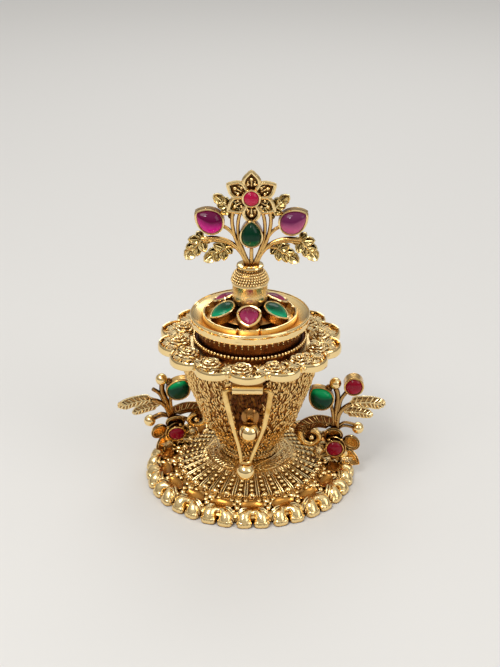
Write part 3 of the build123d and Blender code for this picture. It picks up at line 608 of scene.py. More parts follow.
def cluster(bm):
    """A large granule with smaller ones at its foot."""
    globe(bm, 0.74, 12, 8)
    for place in around(6, 0.6, -0.25, first=30):
        globe(bm, 0.34, 8, 6, place)


def in_sectors(radius, lift, *size):
    """Places on the dome, one in the middle of each sector."""
    return around(SECTORS, radius, dome_height(radius) + lift, RIM_FIRST, DOME_TILT, size)


bead = solid(globe, 1.0, 8, 6)
bm = bmesh.new()
stamp(bm, solid(cluster), in_sectors(CLUSTER_RADIUS, 0.35, 1))
for radius, size in GRANULE_ROWS:
    stamp(bm, bead, in_sectors(radius, size * 0.4, size))
finish("dome_granules", bm, cast, "root", "base_granules")
# A flat near-black bead behind each large granule is painted shade.
bm = bmesh.new()
stamp(bm, bead, in_sectors(SHADE_PATCH_RADIUS, 0.02, 0.42, 0.98, 0.08))
finish("dome_painted_shade", bm, dark_and_shade_gold, "root")

# %% [markdown]
# A flat disc closes the base underneath, as it would be soldered in last.

# %% Underside
bm = bmesh.new()
ring(bm, [(0.01, 0.0), (18.36, 0.0), (18.36, 0.35), (0.01, 0.35)])
finish("base_disc", bm, matte, "root", "base_floor")

# %% [markdown]
# ## The cup
# The cup is a turned bowl on a moulded foot, with a polished ring at its mouth. Each is
# spun from its profile.

# %% Bowl, foot and mouth ring
BOWL = [(4.9, 7.95), (6.6, 9), (8.1, 11.9), (9.85, 14.3), (13.2, 23.6), (15.1, 30.6)]
BOWL_MOUTH = [(15.1, 31.6), (14.65, 31.6)]
BOWL_INSIDE = [(14.65, 30.7), (12.75, 23.8), (9.4, 14.5), (7.65, 12.1), (6.2, 9.4), (4.4, 8.4), (0.01, 8.4)]
bm = bmesh.new()
turn(bm, [(0.01, 7.95)] + BOWL + BOWL_MOUTH + BOWL_INSIDE)
finish("cup_shell", bm, umber, "root", "cup_bowl")

bm = bmesh.new()
ring(bm, [(3.2, 6.1), (5.9, 6.1), (5.95, 6.5), (5.3, 6.9), (4.95, 7.3), (4.95, 7.7), (5.2, 7.9),
          (3.2, 7.9)])
finish("cup_foot_ring", bm, carved, "root", "cup_foot")

bm = bmesh.new()
ring(bm, [(15.14, 30.66), (15.6, 30.66), (15.74, 30.9), (15.74, 31.4), (15.6, 31.6), (15.14, 31.6)])
finish("cup_mouth_ring", bm, polished, "root", "cup_rim")

# %% [markdown]
# The outside of the bowl is covered with small leaves, flowers and scrolls in relief,
# dark between and worn bright on top. Each is a few faces only, because hundreds of them
# are stamped, and one function places them square to the bowl's sloping wall.

# %% Leaves, flowers and scrolls for the bowl
def on_bowl(azimuth, height, lift=0.0):
    """A place on the bowl with Z out of the wall and X up along it."""
    for (low_r, low_z), (high_r, high_z) in zip(BOWL, BOWL[1:]):
        if height <= high_z:
            break
    share = (height - low_z) / (high_z - low_z)
    radius = low_r + share * (high_r - low_r)
    slope = atan2(high_r - low_r, high_z - low_z)
    along = Vector((sin(slope), 0, cos(slope)))
    out = Vector((cos(slope), 0, -sin(slope)))
    basis = Matrix((along, out.cross(along), out)).transposed().to_4x4()
    return turned_by(azimuth) @ at(radius, 0, height) @ basis @ at(0, 0, lift)


def leaflet(bm, length, width, rise):
    """A small leaf along X with a raised midrib."""
    outline = [(0, 0), (0.3 * length, -0.5 * width), (0.7 * length, -0.42 * width), (length, 0),
               (0.7 * length, 0.42 * width), (0.3 * length, 0.5 * width)]
    mound(bm, outline, [(1.0, 0.0), (0.9, rise * 0.7), (0.35, rise)], (length / 2, 0))


def floret(bm, radius):
    """A small flower: six petals round a raised centre."""
    for place in around(6, radius * 0.55, 0.12, first=0):
        globe(bm, 1.0, 8, 4, place @ sized(radius * 0.5, radius * 0.3, 0.24))
    globe(bm, radius * 0.3, 8, 6, at(z=0.22))


def curl(bm, radius):
    """A small hooked wire, like the end of a scroll."""
    points = [(radius * (1 - 0.13 * k) * cos(0.8 * k), radius * (1 - 0.13 * k) * sin(0.8 * k), 0.16)
              for k in range(7)]
    wire(bm, points, [0.2, 0.2, 0.19, 0.18, 0.17, 0.16, 0.15], 5)


# %% [markdown]
# The ornament grows from the foot to the mouth in rows, and chance keeps the rows from
# showing. In the photograph the ground behind the loop lies in deep shadow, so the
# ornament there is a piece of its own in a darker gold.

# %% Ornament on the bowl
ORNAMENT_LOW, ORNAMENT_HIGH, ORNAMENT_SPAN = 8.4, 30.3, 22
LEAF_SIZE, LEAF_GROWTH = 0.66, 0.26
ROW_STEP, COLUMN_STEP = 0.86, 0.8
FLOWER_SHARE, CURL_SHARE, BROAD_SHARE = 0.03, 0.1, 0.45
SHADE_HALF, SHADE_TAPER, SHADE_MIDDLE, SHADE_LOW = 15.5, 0.25, 24, 13.5


def behind_loop(azimuth, height):
    """Whether a place on the bowl lies in the shadow behind the loop."""
    aside = (azimuth - FRONT + 180) % 360 - 180
    return abs(aside) < SHADE_HALF - SHADE_TAPER * abs(height - SHADE_MIDDLE) and height > SHADE_LOW


leaf_mesh = solid(leaflet, 1.55, 0.62, 0.42)
sliver_mesh = solid(leaflet, 1.9, 0.42, 0.4)
floret_mesh = solid(floret, 0.85)
curl_mesh = solid(curl, 0.5)
chance = Random(11)
relief, shade = bmesh.new(), bmesh.new()
height = ORNAMENT_LOW
while height < ORNAMENT_HIGH:
    size = LEAF_SIZE + LEAF_GROWTH * (height - ORNAMENT_LOW) / ORNAMENT_SPAN
    columns = int(2 * pi * on_bowl(0, height).translation.x / (COLUMN_STEP * size))
    for column in range(columns):
        azimuth = (column + chance.uniform(-0.3, 0.3)) * 360 / columns
        here = on_bowl(azimuth, height + chance.uniform(-0.35, 0.35), chance.uniform(-0.14, 0.04))
        kind = chance.random()
        lean = chance.choice((-1, 1)) * chance.uniform(3, 30)
        layer = shade if behind_loop(azimuth, height) else relief
        if kind < FLOWER_SHARE:
            stamp(layer, floret_mesh, [here @ sized(size * 0.9)])
        elif kind < CURL_SHARE:
            stamp(layer, curl_mesh, [here @ turned_by(lean * 4) @ sized(size)])
        else:
            mesh = leaf_mesh if kind < BROAD_SHARE else sliver_mesh
            stamp(layer, mesh, [here @ turned_by(lean) @ sized(size * chance.uniform(0.85, 1.25),
                                                              size * chance.uniform(0.8, 1.1), size)])
    height += ROW_STEP * size
finish("cup_relief", relief, carved, "root", None)
finish("cup_relief_behind_latch", shade, dark_and_shade_gold, "root", None)

# %% [markdown]
# ## The latch
# A flat strap, bent to a long triangle, hangs from a tube under the flange and closes
# over a round knob. The strap has rounded corners at the top and a ball at its tip. Balls
# and tube are the most polished pieces, so they carry the clearest reflections.

# %% Knob, tube, strap and tip
KNOB_X, KNOB_Z = 0.3, 18.8
TUBE_Y, TUBE_Z = -17, 29.4
# The two legs of the strap from the tube to the tip: across, and height.
LEGS = ([(-3.27, 29.4), (-3.9, 29.4), (-4.36, 29.15), (-4.53, 28.6), (-4.25, 26.6), (-3.8, 24.4),
         (-3.2, 21.8), (-2.5, 19.0), (-1.85, 16.4), (-1.35, 13.6), (-1.25, 12.2)],
        [(3.27, 29.4), (3.9, 29.4), (4.36, 29.15), (4.55, 28.6), (4.4, 26.6), (4.1, 24.4), (3.6, 21.8),
         (2.9, 19.4), (1.95, 16.8), (0.85, 13.6), (0.4, 12.2)])


def tube(bm, low, high, y, z, end, middle, sides):
    """A tube along X whose two ends are a little drawn in."""
    wire(bm, [(x, y, z) for x in (low, low + 0.1, high - 0.1, high)], [end, middle, middle, end], sides)


bm = bmesh.new()
globe(bm, 2.08, 40, 28, at(KNOB_X, -15.6, KNOB_Z))
wire(bm, [(KNOB_X, -14.2, KNOB_Z), (KNOB_X, -11.2, KNOB_Z)], 0.75, 16)
finish("latch_knob_ball", bm, polished, "root", "latch_knob")
# A dark dome on the bowl behind the knob is a painted reflection of the knob.
bm = bmesh.new()
globe(bm, 2.0, 28, 20, at(0.4, -12.2, 20.9) @ sized(1, 0.85, 1.35))
finish("latch_knob_painted_reflection", bm, bronze, "root")

bm = bmesh.new()
globe(bm, 1.88, 36, 24, at(-0.4, TUBE_Y, 10.2))
finish("latch_tip", bm, polished, "latch", "latch_tip_ball")

bm = bmesh.new()
tube(bm, -3.15, 3.15, TUBE_Y, TUBE_Z, 0.88, 1.0, 28)
finish("latch_barrel", bm, polished, "lid", "latch_tube")
bm = bmesh.new()
block(bm, at(0, -16.9, 30.9), 6.1, 0.5, 1.6)
finish("latch_web", bm, umber, "lid")

bm = bmesh.new()
for leg in LEGS:
    path = smooth_path([(x, TUBE_Y, z) for x, z in leg], 4)
    count = len(path)
    widths = [0.5 + 0.12 * sin(pi * min(1.0, 1.5 * n / count)) - 0.12 * (n / count) ** 2
              for n in range(count)]
    wire(bm, path, widths, 12, 0.85, up=(0, 1, 0))
for side in (-1, 1):
    wire(bm, [(side * 3.6, TUBE_Y, TUBE_Z), (side * 0.5, TUBE_Y, TUBE_Z)], 0.48, 16)
wire(bm, [(-1.3, TUBE_Y, 12.4), (-0.4, TUBE_Y, 12.2), (0.45, TUBE_Y, 12.4)], 0.5, 12)
finish("latch_strap", bm, shaded_strap, "latch", "latch_loop")

# %% [markdown]
# The photograph hides the hinge. A box of this kind would have a small one with three
# knuckles: two on the cup, one on the lid between them, and a pin with headed ends.

# %% Hinge at the back
HINGE_Y, HINGE_Z = 17.3, 30.3
# Half of the pin from its end inwards: distance from the middle, and half width.
PIN_HALF = [(4.35, 0.6), (4.25, 0.85), (4.02, 0.85), (4.0, 0.5)]
bm = bmesh.new()
for low, high in ((-4.0, -1.6), (1.6, 4.0)):
    tube(bm, low, high, HINGE_Y, HINGE_Z, 1.0, 1.1, 24)
    block(bm, at((low + high) / 2, 16.4, 31.7), 2.3, 1.7, 0.9)
finish("hinge_cup_knuckles", bm, cast, "root", "hinge_leaf_cup")
bm = bmesh.new()
tube(bm, -1.5, 1.5, HINGE_Y, HINGE_Z, 1.0, 1.1, 24)
block(bm, at(0, HINGE_Y, 31.1), 2.9, 0.9, 1.2)
finish("hinge_lid_knuckle", bm, cast, "lid", "hinge_leaf_lid")
bm = bmesh.new()
pin = [(-x, width) for x, width in PIN_HALF] + PIN_HALF[::-1]
wire(bm, [(x, HINGE_Y, HINGE_Z) for x, width in pin], [width for x, width in pin], 20)
finish("hinge_rod", bm, polished, "root", "hinge_pin")

# %% [markdown]
# ## The lid's flange
# Fourteen lobes run round the lid, each an arc of a circle. A polished band follows the
# scalloped edge, and a sheet inside it carries the ornament. Both take the scallops from
# one function and are loops bridged one to the next.

# %% Flange plate and band
LOBES = 14
LOBE_CIRCLE = 15.3
LOBE_STEPS = 14
FLANGE_HOLE = 10.6
PLATE_LOW, PLATE_HIGH = 31.7, 32.4
# The band's section: lobe radius and height.
EDGE_SECTION = [(4.25, 31.7), (4.36, 31.85), (4.39, 32.3), (4.37, 32.9), (4.28, 33.3), (4.12, 33.5),
                (3.96, 33.45), (3.88, 33.2), (3.86, 32.4), (3.88, 31.75), (4.0, 31.7)]


def crossing(radius, half):
    """How far out two neighbouring lobes of this radius cross."""
    return LOBE_CIRCLE * cos(half) + (radius ** 2 - (LOBE_CIRCLE * sin(half)) ** 2) ** 0.5


def lobed_outline(radius):
    """Outline of the scalloped edge, each lobe an arc of this radius."""
    half = pi / LOBES
    reach = acos((radius ** 2 + LOBE_CIRCLE ** 2 - crossing(radius, half) ** 2)
                 / (2 * radius * LOBE_CIRCLE))
    outline = []
    for lobe in range(LOBES):
        middle = radians(FRONT) + lobe * 2 * half
        for step in range(LOBE_STEPS):
            turn_here = (pi - reach) * (2 * (step + 0.5) / LOBE_STEPS - 1)
            outline.append((LOBE_CIRCLE * cos(middle) + radius * cos(middle + turn_here),
                            LOBE_CIRCLE * sin(middle) + radius * sin(middle + turn_here)))
    return outline


bm = bmesh.new()
band(bm, [(lobed_outline(radius), height) for radius, height in EDGE_SECTION])
finish("flange_edge", bm, polished, "lid", "flange_band")
bm = bmesh.new()
edge_line = lobed_outline(3.86)
hole_line = [(FLANGE_HOLE * x / (x * x + y * y) ** 0.5, FLANGE_HOLE * y / (x * x + y * y) ** 0.5)
             for x, y in edge_line]
band(bm, [(edge_line, PLATE_LOW), (edge_line, PLATE_HIGH), (hole_line, PLATE_HIGH), (hole_line, PLATE_LOW)])
finish("flange_sheet", bm, crumpled, "lid", "flange_plate")

# %% [markdown]
# Each lobe holds a round flower and a spray of leaves. The flower is a crumpled head:
# three tiers of curved petals on a low dome, with folds across them and a bead in the
# middle. The leaves are shells of narrow ribs that open from one point over a low base.

# %% Flower heads and leaves of the flange
FLOWER_DOME = [(0.01, -0.1), (2.4, -0.1), (2.35, 0.15), (1.8, 0.5), (1.1, 0.8), (0.5, 0.95), (0.01, 1.0)]
# Each tier: petals, radius, height and half width of the wire.
FLOWER_TIERS = ((8, 2.0, 0.5, 0.22), (7, 1.35, 0.95, 0.19), (4, 0.72, 1.3, 0.17))
# Each row of leaves or beads: turn or size, radius, height and degrees from the lobe's middle.
FAN_ROWS = (("wide", 36, 15.8, 32.5, 5.2), ("small", -40, 16.7, 32.45, -9.2), ("small", 4, 17.0, 32.4, -2.4),
            ("small", 150, 14.6, 32.45, 8.6))
BEAD_ROWS = ((0.42, 15.2, 32.9, -5), (0.36, 17.6, 32.7, 0))


def flower_head(bm):
    """A crumpled round flower facing up: tiers of curved, ridged petals on a low dome."""
    turn(bm, FLOWER_DOME, 20)
    for count, radius, height, thick in FLOWER_TIERS:
        half = 3.3 * radius / count
        for place in around(count, radius, height, first=chance.uniform(0, 90)):
            here = place @ turned_by(chance.uniform(-16, 16)) @ turned_by(chance.uniform(-14, 14), "X")
            bow = [here @ Vector((0.45 * half * (1 - s * s) - 0.2, s * half, 0.2 * (1 - s * s)))
                   for s in (-1, -0.6, 0, 0.6, 1)]
            wire(bm, bow, [0.6 * thick, thick, 1.1 * thick, thick, 0.6 * thick], 5)
            for s in (-0.5, 0.1, 0.55):
                wire(bm, [here @ Vector((-0.75, s * half * 0.6, -0.05)), here @ Vector((0, s * half, 0.1))],
                     [0.06, 0.1], 4)
    globe(bm, 0.3, 8, 6, at(z=1.4))


def fan(bm, blades, reach, spread):
    """A shell of narrow ribs that open from one point over a low base."""
    for n in range(blades):
        lean = spread * (n / (blades - 1) - 0.5)
        tip = reach * (1 - 0.15 * abs(lean) / 90)
        along = turned_by(lean)
        wire(bm, [along @ Vector(p) for p in ((0, 0, 0.15), (0.45 * tip, 0, 0.5), (0.85 * tip, 0, 0.45),
                                              (tip, 0, 0.1))], [0.1, 0.17, 0.24, 0.14], 6)
    globe(bm, 0.85 * reach, 14, 6, at(0, 0, -0.1) @ sized(1, 1, 0.14))


bm = bmesh.new()
for place in around(LOBES, 14.95, 32.5, FRONT - 5.2):
    stamp(bm, solid(flower_head), [place])
finish("flange_flower_heads", bm, crumpled, "lid", "flange_flowers", sharp=30)

bm = bmesh.new()
fans = {"wide": solid(fan, 8, 2.6, 160), "small": solid(fan, 6, 1.9, 130)}
for kind, turn_here, radius, height, aside in FAN_ROWS:
    stamp(bm, fans[kind], [p @ turned_by(turn_here) for p in around(LOBES, radius, height, FRONT + aside)])
for size, radius, height, aside in BEAD_ROWS:
    stamp(bm, bead, around(LOBES, radius, height, FRONT + 180 / LOBES + aside, size=(size,)))
finish("flange_leaves", bm, crumpled, "lid", sharp=30)

# %% [markdown]
# ## The drum and the polished rim
# A dark engraved drum rises from the flange inside a ring of milgrain beads. Small marks
# stand round its top, and rows of flat leaves lie over one another below them.

# %% Beads, drum and marks
DRUM_RADIUS = 11.0
ENGRAVED_ROWS, ENGRAVED_COLUMNS = 7, 72
bm = bmesh.new()
ring(bm, [(11.05, 32.4), (12.0, 32.4), (12.05, 33), (11.9, 33.55), (11.5, 33.65), (11.05, 33.6)])
finish("milgrain_seat", bm, dark_and_shade_gold, "lid", "beaded_ring")
bm = bmesh.new()
stamp(bm, bead, around(90, 11.8, 33.8, size=(0.35,)))
finish("milgrain", bm, cast, "lid")

bm = bmesh.new()
ring(bm, [(10.55, 32.4), (DRUM_RADIUS, 32.4), (DRUM_RADIUS, 37.1), (10.55, 37.1)])
finish("drum_wall", bm, dark_and_shade_gold, "lid", "lid_drum")


def mark(bm):
    """A small upright bar with a grain below it, in relief."""
    wire(bm, [(0, 0, 0.36), (0, 0, -0.25)], [0.12, 0.17], 5)
    globe(bm, 0.17, 6, 4, at(z=-0.6))


bm = bmesh.new()
stamp(bm, solid(mark), [p @ at(0, 0, chance.uniform(-0.15, 0.15)) for p in around(54, 11.02, 36.2)])
finish("drum_marks", bm, cast, "lid")
bm = bmesh.new()
for row in range(ENGRAVED_ROWS):
    places = around(ENGRAVED_COLUMNS, 10.98, 34.1 + 0.28 * row, FRONT + 2.5 * (row % 2))
    stamp(bm, leaf_mesh, [p @ turned_by(-90, "Y") @ turned_by(chance.uniform(-50, 50)) @ sized(0.34, 0.4, 0.3)
                          for p in places])
finish("drum_engraving", bm, dark_and_shade_gold, "lid")

# %% [markdown]
# The drum carries a wide polished rim with a hollow face, and an orange channel inside
# it. A thin wall stands in the channel and frames the stones; small cusps on it point
# inwards at both sides of each pink stone.

# %% Polished rim, channel and cusped ring
RIM_PROFILE = [(11.9, 37.1), (12.5, 37.1), (12.61, 37.16), (12.64, 37.32), (12.55, 37.7), (12.51, 38.1),
               (12.54, 38.5), (12.62, 38.8), (12.6, 38.98), (12.48, 39.14), (12.34, 39.2), (12.24, 39.14),
               (12.18, 38.95), (11.9, 38.78)]
TRAY_PROFILE = [(0.01, 37.1), (11.88, 37.1), (11.88, 38.76), (11.3, 38.42), (10.6, 38.12), (10.0, 37.95),
                (9.4, 37.7), (9.2, 37.5), (0.01, 37.5)]
bm = bmesh.new()
ring(bm, RIM_PROFILE, 128)
finish("lid_polished_rim", bm, polished, "lid", "lid_rim")
bm = bmesh.new()
ring(bm, TRAY_PROFILE, 128)
finish("lid_channel", bm, channel, "lid", "lid_tray")

CUSP_HALF = 15.5
ARC_STEPS = 40
# Half a span between two arcs: share of its half width, and how far the line runs inwards.
CUSP = [(0.4, 0.05), (0.72, 0.1), (0.8, 0.25), (0.88, 0.5), (0.94, 0.25), (0.99, 0.04)]


def cusped_line(radius):
    """A circle with a small inward cusp at each side of the three pink stones."""
    span = [(-share, inwards) for share, inwards in reversed(CUSP)] + [(0.0, 0.02)] + CUSP
    line = []
    for third in range(3):
        middle = FRONT + third * 120
        turns = [(middle + CUSP_HALF + (120 - 2 * CUSP_HALF) * n / (ARC_STEPS - 1), 0.0)
                 for n in range(ARC_STEPS)]
        turns += [(middle + 120 + share * CUSP_HALF, inwards) for share, inwards in span]
        line += [((radius - inwards) * cos(radians(a)), (radius - inwards) * sin(radians(a)))
                 for a, inwards in turns]
    return line


bm = bmesh.new()
band(bm, [(cusped_line(radius), height)
          for radius, height in ((9.92, 37.6), (9.94, 39.1), (9.5, 39.1), (9.48, 37.6))])
finish("cusped_ring", bm, satin, "lid", "lid_fret")
bm = bmesh.new()
wire(bm, [(x, y, 39.1) for x, y in cusped_line(9.72)], 0.22, 8, 0.8, closed=True)
finish("cusped_ring_edge", bm, polished, "lid")

# %% [markdown]
# ## Stones and their settings
# A setting is a cup of sheet metal with a thin lip that is pressed over the stone. The
# outline is a circle or a drop. The stone is a dome of the same outline, lifted level by
# level, and the cup's mouth is inset and pushed down to make room for it.

# %% Outline, setting and cabochon
FLANK_TURN = 78
FLANK_STEPS = 6
SETTING_LIFT, SETTING_ROOM = 0.12, 0.9
STONE_STEPS = 8


def drop(radius, tip, count=36):
    """A drop about the origin with rounded flanks, its tip on +X; a circle when tip is the radius."""
    if tip <= radius:
        return [(radius * cos(2 * pi * n / count), radius * sin(2 * pi * n / count)) for n in range(count)]
    spread = max(acos(radius / tip), radians(FLANK_TURN))
    back = (tip ** 2 - radius ** 2) / (2 * (radius - tip * cos(spread)))
    nose = atan2(back * sin(spread), tip + back * cos(spread))
    steps = count - 2 * FLANK_STEPS
    line = [(radius * cos(t), radius * sin(t))
            for t in [spread + (2 * pi - 2 * spread) * n / steps for n in range(steps + 1)]]
    for side, shares in ((-1, range(1, FLANK_STEPS)), (1, range(FLANK_STEPS, 0, -1))):
        for n in shares:
            t = spread + (nose - spread) * n / FLANK_STEPS
            line.append(((radius + back) * cos(t) - back * cos(spread),
                         side * ((radius + back) * sin(t) - back * sin(spread))))
    return line


def setting(bm, radius, tip, depth, wall=0.4):
    """A cup whose mouth is near the origin plane, open upwards for its stone."""
    face = bm.faces.new([bm.verts.new((x, y, -depth)) for x, y in drop(radius, tip)])
    for n, (share, rise) in enumerate(((1.0, depth * 0.9), (1.012, depth * 0.1 + SETTING_LIFT * 0.5),
                                       (0.965, SETTING_LIFT * 0.5))):
        face = lifted(bm, face, rise, share, base=n == 0)
    bmesh.ops.inset_region(bm, faces=[face], thickness=wall * 0.75, use_even_offset=True)
    lifted(bm, face, -SETTING_ROOM)


def lip(bm, radius, tip, wall):
    """The rounded edge of a setting, a wire laid along its mouth."""
    inner = 1 - 0.5 * wall / radius
    mouth = [(x * inner, y * inner, SETTING_LIFT) for x, y in drop(radius, tip)]
    wire(bm, mouth, wall * 0.55, 8, closed=True)


def cabochon(bm, radius, tip, rise, wall, inset=0.18):
    """A polished dome that fills a setting of this size."""
    levels = [(1.0, -0.5), (1.0, -inset)]
    for step in range(1, STONE_STEPS + 1):
        a = step * pi / 18
        levels.append((cos(a), rise * sin(a) - inset))
    levels.append((0.06, rise - inset))
    mound(bm, drop(radius - wall, tip - wall), levels)


# %% [markdown]
# ## Six stones round the pot
# Three pink and three green stones slope outwards like petals. Each stands in its own
# setting on a dark floor.

# %% Stones of the lid
def sloped(first):
    """Three places round the pot whose X runs outwards and down the slope."""
    return around(3, 6.1, 40.95, first, 24.0)


LID_FLOOR = [(4.5, 37.55), (6.9, 38.9), (6.6, 39.2), (3.1, 40.7), (3.1, 42.3), (2.6, 42.3), (2.6, 37.55),
             (4.5, 37.55)]
PINKS, GREENS = sloped(FRONT), sloped(FRONT + 60)
PINK, GREEN = (2.6, 3.45), (2.45, 3.6)
bm = bmesh.new()
stamp(bm, solid(setting, *PINK, 1.7, 0.6), PINKS)
stamp(bm, solid(setting, *GREEN, 1.7, 0.36), GREENS)
finish("lid_settings", bm, umber, "lid", "lid_bezels")
bm = bmesh.new()
stamp(bm, solid(lip, *PINK, 0.56), PINKS)
stamp(bm, solid(lip, *GREEN, 0.36), GREENS)
finish("lid_setting_lips", bm, polished, "lid")
bm = bmesh.new()
turn(bm, LID_FLOOR, 48)
finish("lid_floor", bm, bronze, "lid")
bm = bmesh.new()
stamp(bm, solid(cabochon, *PINK, 1.1, 0.6), PINKS)
finish("lid_pink_cabochons", bm, wine, "lid", "lid_pink_gems")
bm = bmesh.new()
stamp(bm, solid(cabochon, *GREEN, 1.05, 0.3), GREENS)
finish("lid_green_cabochons", bm, emerald, "lid", "lid_green_gems")

# %% [markdown]
# ## The pot
# The pot is turned and polished below. Its shoulder carries five rows of fine granules,
# with a collar of small upright bars under the rolled lip. A darker band under the granules
# is painted shade between them.

# %% Pot and its granules
POT = [(0.01, 41.4), (3.45, 41.4), (3.62, 41.7), (3.68, 43.5), (3.7, 45.5), (3.82, 45.65), (3.84, 45.95),
       (3.74, 46.1), (3.55, 46.9), (3.2, 47.7), (2.7, 48.35), (2.2, 48.7), (2.2, 49), (1.5, 49),
       (1.5, 47.4), (0.01, 47.4)]
POT_SHADE_BAND = [(3.77, 46.15), (3.59, 46.93), (3.24, 47.73), (2.74, 48.4), (2.3, 48.66), (2.3, 48.5),
                (2.7, 48.25), (3.18, 47.6), (3.5, 46.85), (3.66, 46.15)]
POT_LIP = [(1.5, 49.05), (2.4, 49.05), (2.75, 49.2), (2.9, 49.48), (2.75, 49.78), (2.4, 49.92), (1.7, 49.92),
           (1.5, 49.7)]
# Each row of granules: radius, height and size.
SHOULDER_ROWS = ((3.76, 46.45, 0.29), (3.62, 46.98, 0.28), (3.42, 47.48, 0.27), (3.14, 47.95, 0.26),
                 (2.78, 48.38, 0.23))
bm = bmesh.new()
turn(bm, POT, 64)
finish("pot_turned", bm, satin, "lid", "pot_body")
bm = bmesh.new()
for radius, height, size in SHOULDER_ROWS:
    stamp(bm, bead, around(40, radius, height, FRONT + height * 40, size=(size,)))
stamp(bm, bead, around(26, 2.36, 48.82, size=(0.16, 0.13, 0.36)))
finish("pot_beads", bm, cast, "lid", "pot_granules")
# The darker shoulder band is painted shade between the granules.
for name, profile, material, node in (("pot_shoulder_painted_shade", POT_SHADE_BAND, carved, None),
                                      ("pot_rolled_lip", POT_LIP, polished, "pot_lip")):
    bm = bmesh.new()
    ring(bm, profile, 64)
    finish(name, bm, material, "lid", node)

# %% [markdown]
# ## The tree
# The tree is a flat casting in an upright plane. Its stems curve out of the pot and carry
# lobed leaves, three drop-shaped stones and a six-petalled flower with a round stone. The
# pieces are made flat, facing up, and one turn stands them in the tree's plane.

# %% The tree's plane and its leaves
TREE = at(0.3, 0, -1.4) @ turned_by(90, "X")
LEAF_RIM = 0.36
# Each pair of lobes: start along the leaf, turn, reach and width as shares of the leaf's width.
PAIRED_LOBES = ((0.36, 40, 0.5, 0.38), (0.12, 58, 0.56, 0.4), (0.0, 100, 0.4, 0.32))


def hollow_lobe(bm, reach, width):
    """One pressed lobe of a leaf along X: a raised rim round a hollow with a vein in it."""
    half = [(0.3 * reach, 0.46 * width), (0.6 * reach, 0.5 * width), (0.86 * reach, 0.3 * width)]
    outline = [(0, 0.12 * width), (0, -0.12 * width)] + [(x, -y) for x, y in half] + [(reach, 0)] + half[::-1]
    mound(bm, outline, [(0.86, -0.3), (1.0, 0.0), (0.98, 0.8 * LEAF_RIM), (0.86, LEAF_RIM),
                        (0.7, 0.45 * LEAF_RIM), (0.4, -0.1), (0.15, -0.12)], (0.55 * reach, 0))
    wire(bm, [(0.1 * reach, 0, 0.1), (0.5 * reach, 0, 0.12), (0.85 * reach, 0, 0.2)], [0.14, 0.12, 0.06], 5)


def leafy(bm, length, width):
    """A leaf of seven pressed lobes that leave a common midrib along X."""
    lobes = [(0.5, 0, 0.54 * length, 0.52)]
    for start, lean, reach, broad in PAIRED_LOBES:
        lobes += [(start, lean, reach * width, broad), (start, -lean, reach * width, broad)]
    for start, lean, reach, broad in lobes:
        stamp(bm, solid(hollow_lobe, reach, broad * width),
              [at(start * length, 0, 0) @ turned_by(lean) @ turned_by(-9, "Y")])
    wire(bm, [(-0.06 * length, 0, 0.2), (0.3 * length, 0, 0.42), (0.66 * length, 0, 0.3)],
         [0.3, 0.27, 0.12], 8)


# %% [markdown]
# The stems are drawn for one side and mirrored, as the tree is nearly symmetrical. A short
# post joins them in the mouth of the pot.

# %% Stems
# The stems of the left half, each with its half width: across, and height.
STEMS = (
    ([(-0.35, 51.0), (-1.6, 53.9), (-2.55, 57.0), (-2.75, 60.0), (-2.3, 62.4), (-1.5, 63.9)], 0.4),
    ([(-0.75, 50.9), (-2.2, 54.2), (-3.4, 57.4), (-3.95, 60.4), (-3.8, 63.0)], 0.42),
    ([(-1.9, 53.6), (-3.0, 56.6), (-4.4, 58.6), (-6.2, 59.8)], 0.38),
    ([(-0.9, 50.9), (-2.0, 53.6), (-4.2, 55.9), (-7.2, 56.9), (-10.3, 56.7)], 0.46),
    ([(-0.55, 50.9), (-1.7, 53.3), (-3.6, 55.4), (-6.6, 56.35), (-10.0, 56.2)], 0.38),
    ([(-2.3, 54.2), (-3.7, 55.0), (-5.3, 54.9)], 0.32),
)
bm = bmesh.new()
for points, width in STEMS:
    for side in (-1, 1):
        path = smooth_path([(side * x, z, 0.12) for x, z in points], 5)
        wire(bm, path, width, 10, 1.1)
wire(bm, [(0, 50.8, 0), (0, 55.2, 0)], [0.5, 0.4], 10)
bmesh.ops.transform(bm, matrix=TREE, verts=bm.verts)
tree_root = solid(wire, [(0, 0, 47.5), (0, 0, 49.75)], [1.4, 1.4], 24)
stamp(bm, tree_root, [Matrix.Identity(4)])
finish("tree_branches", bm, twig, "lid", "tree_stems")

# %% [markdown]
# Three leaves grow on each side, and each is mirrored like its stem.

# %% Leaves
# Each leaf: across, height, direction, length and width.
TREE_LEAVES = ((-10.0, 56.9, 232, 5.5, 4.6), (-5.1, 54.9, 212, 5.3, 4.3), (-3.7, 62.6, 136, 5.2, 3.9))
bm = bmesh.new()
for x, z, angle, length, width in TREE_LEAVES:
    leaf = solid(leafy, length, width)
    stamp(bm, leaf, [at(x, z, -0.1) @ turned_by(angle), at(-x, z, -0.1) @ turned_by(180 - angle)])
bmesh.ops.transform(bm, matrix=TREE, verts=bm.verts)
finish("tree_foliage", bm, olive, "lid", "tree_leaves")

# %% [markdown]
# The flower's petals are cut plates with a wire soldered round the edge. Each holds a
# bead near its tip and two at its foot, with short veins between them.

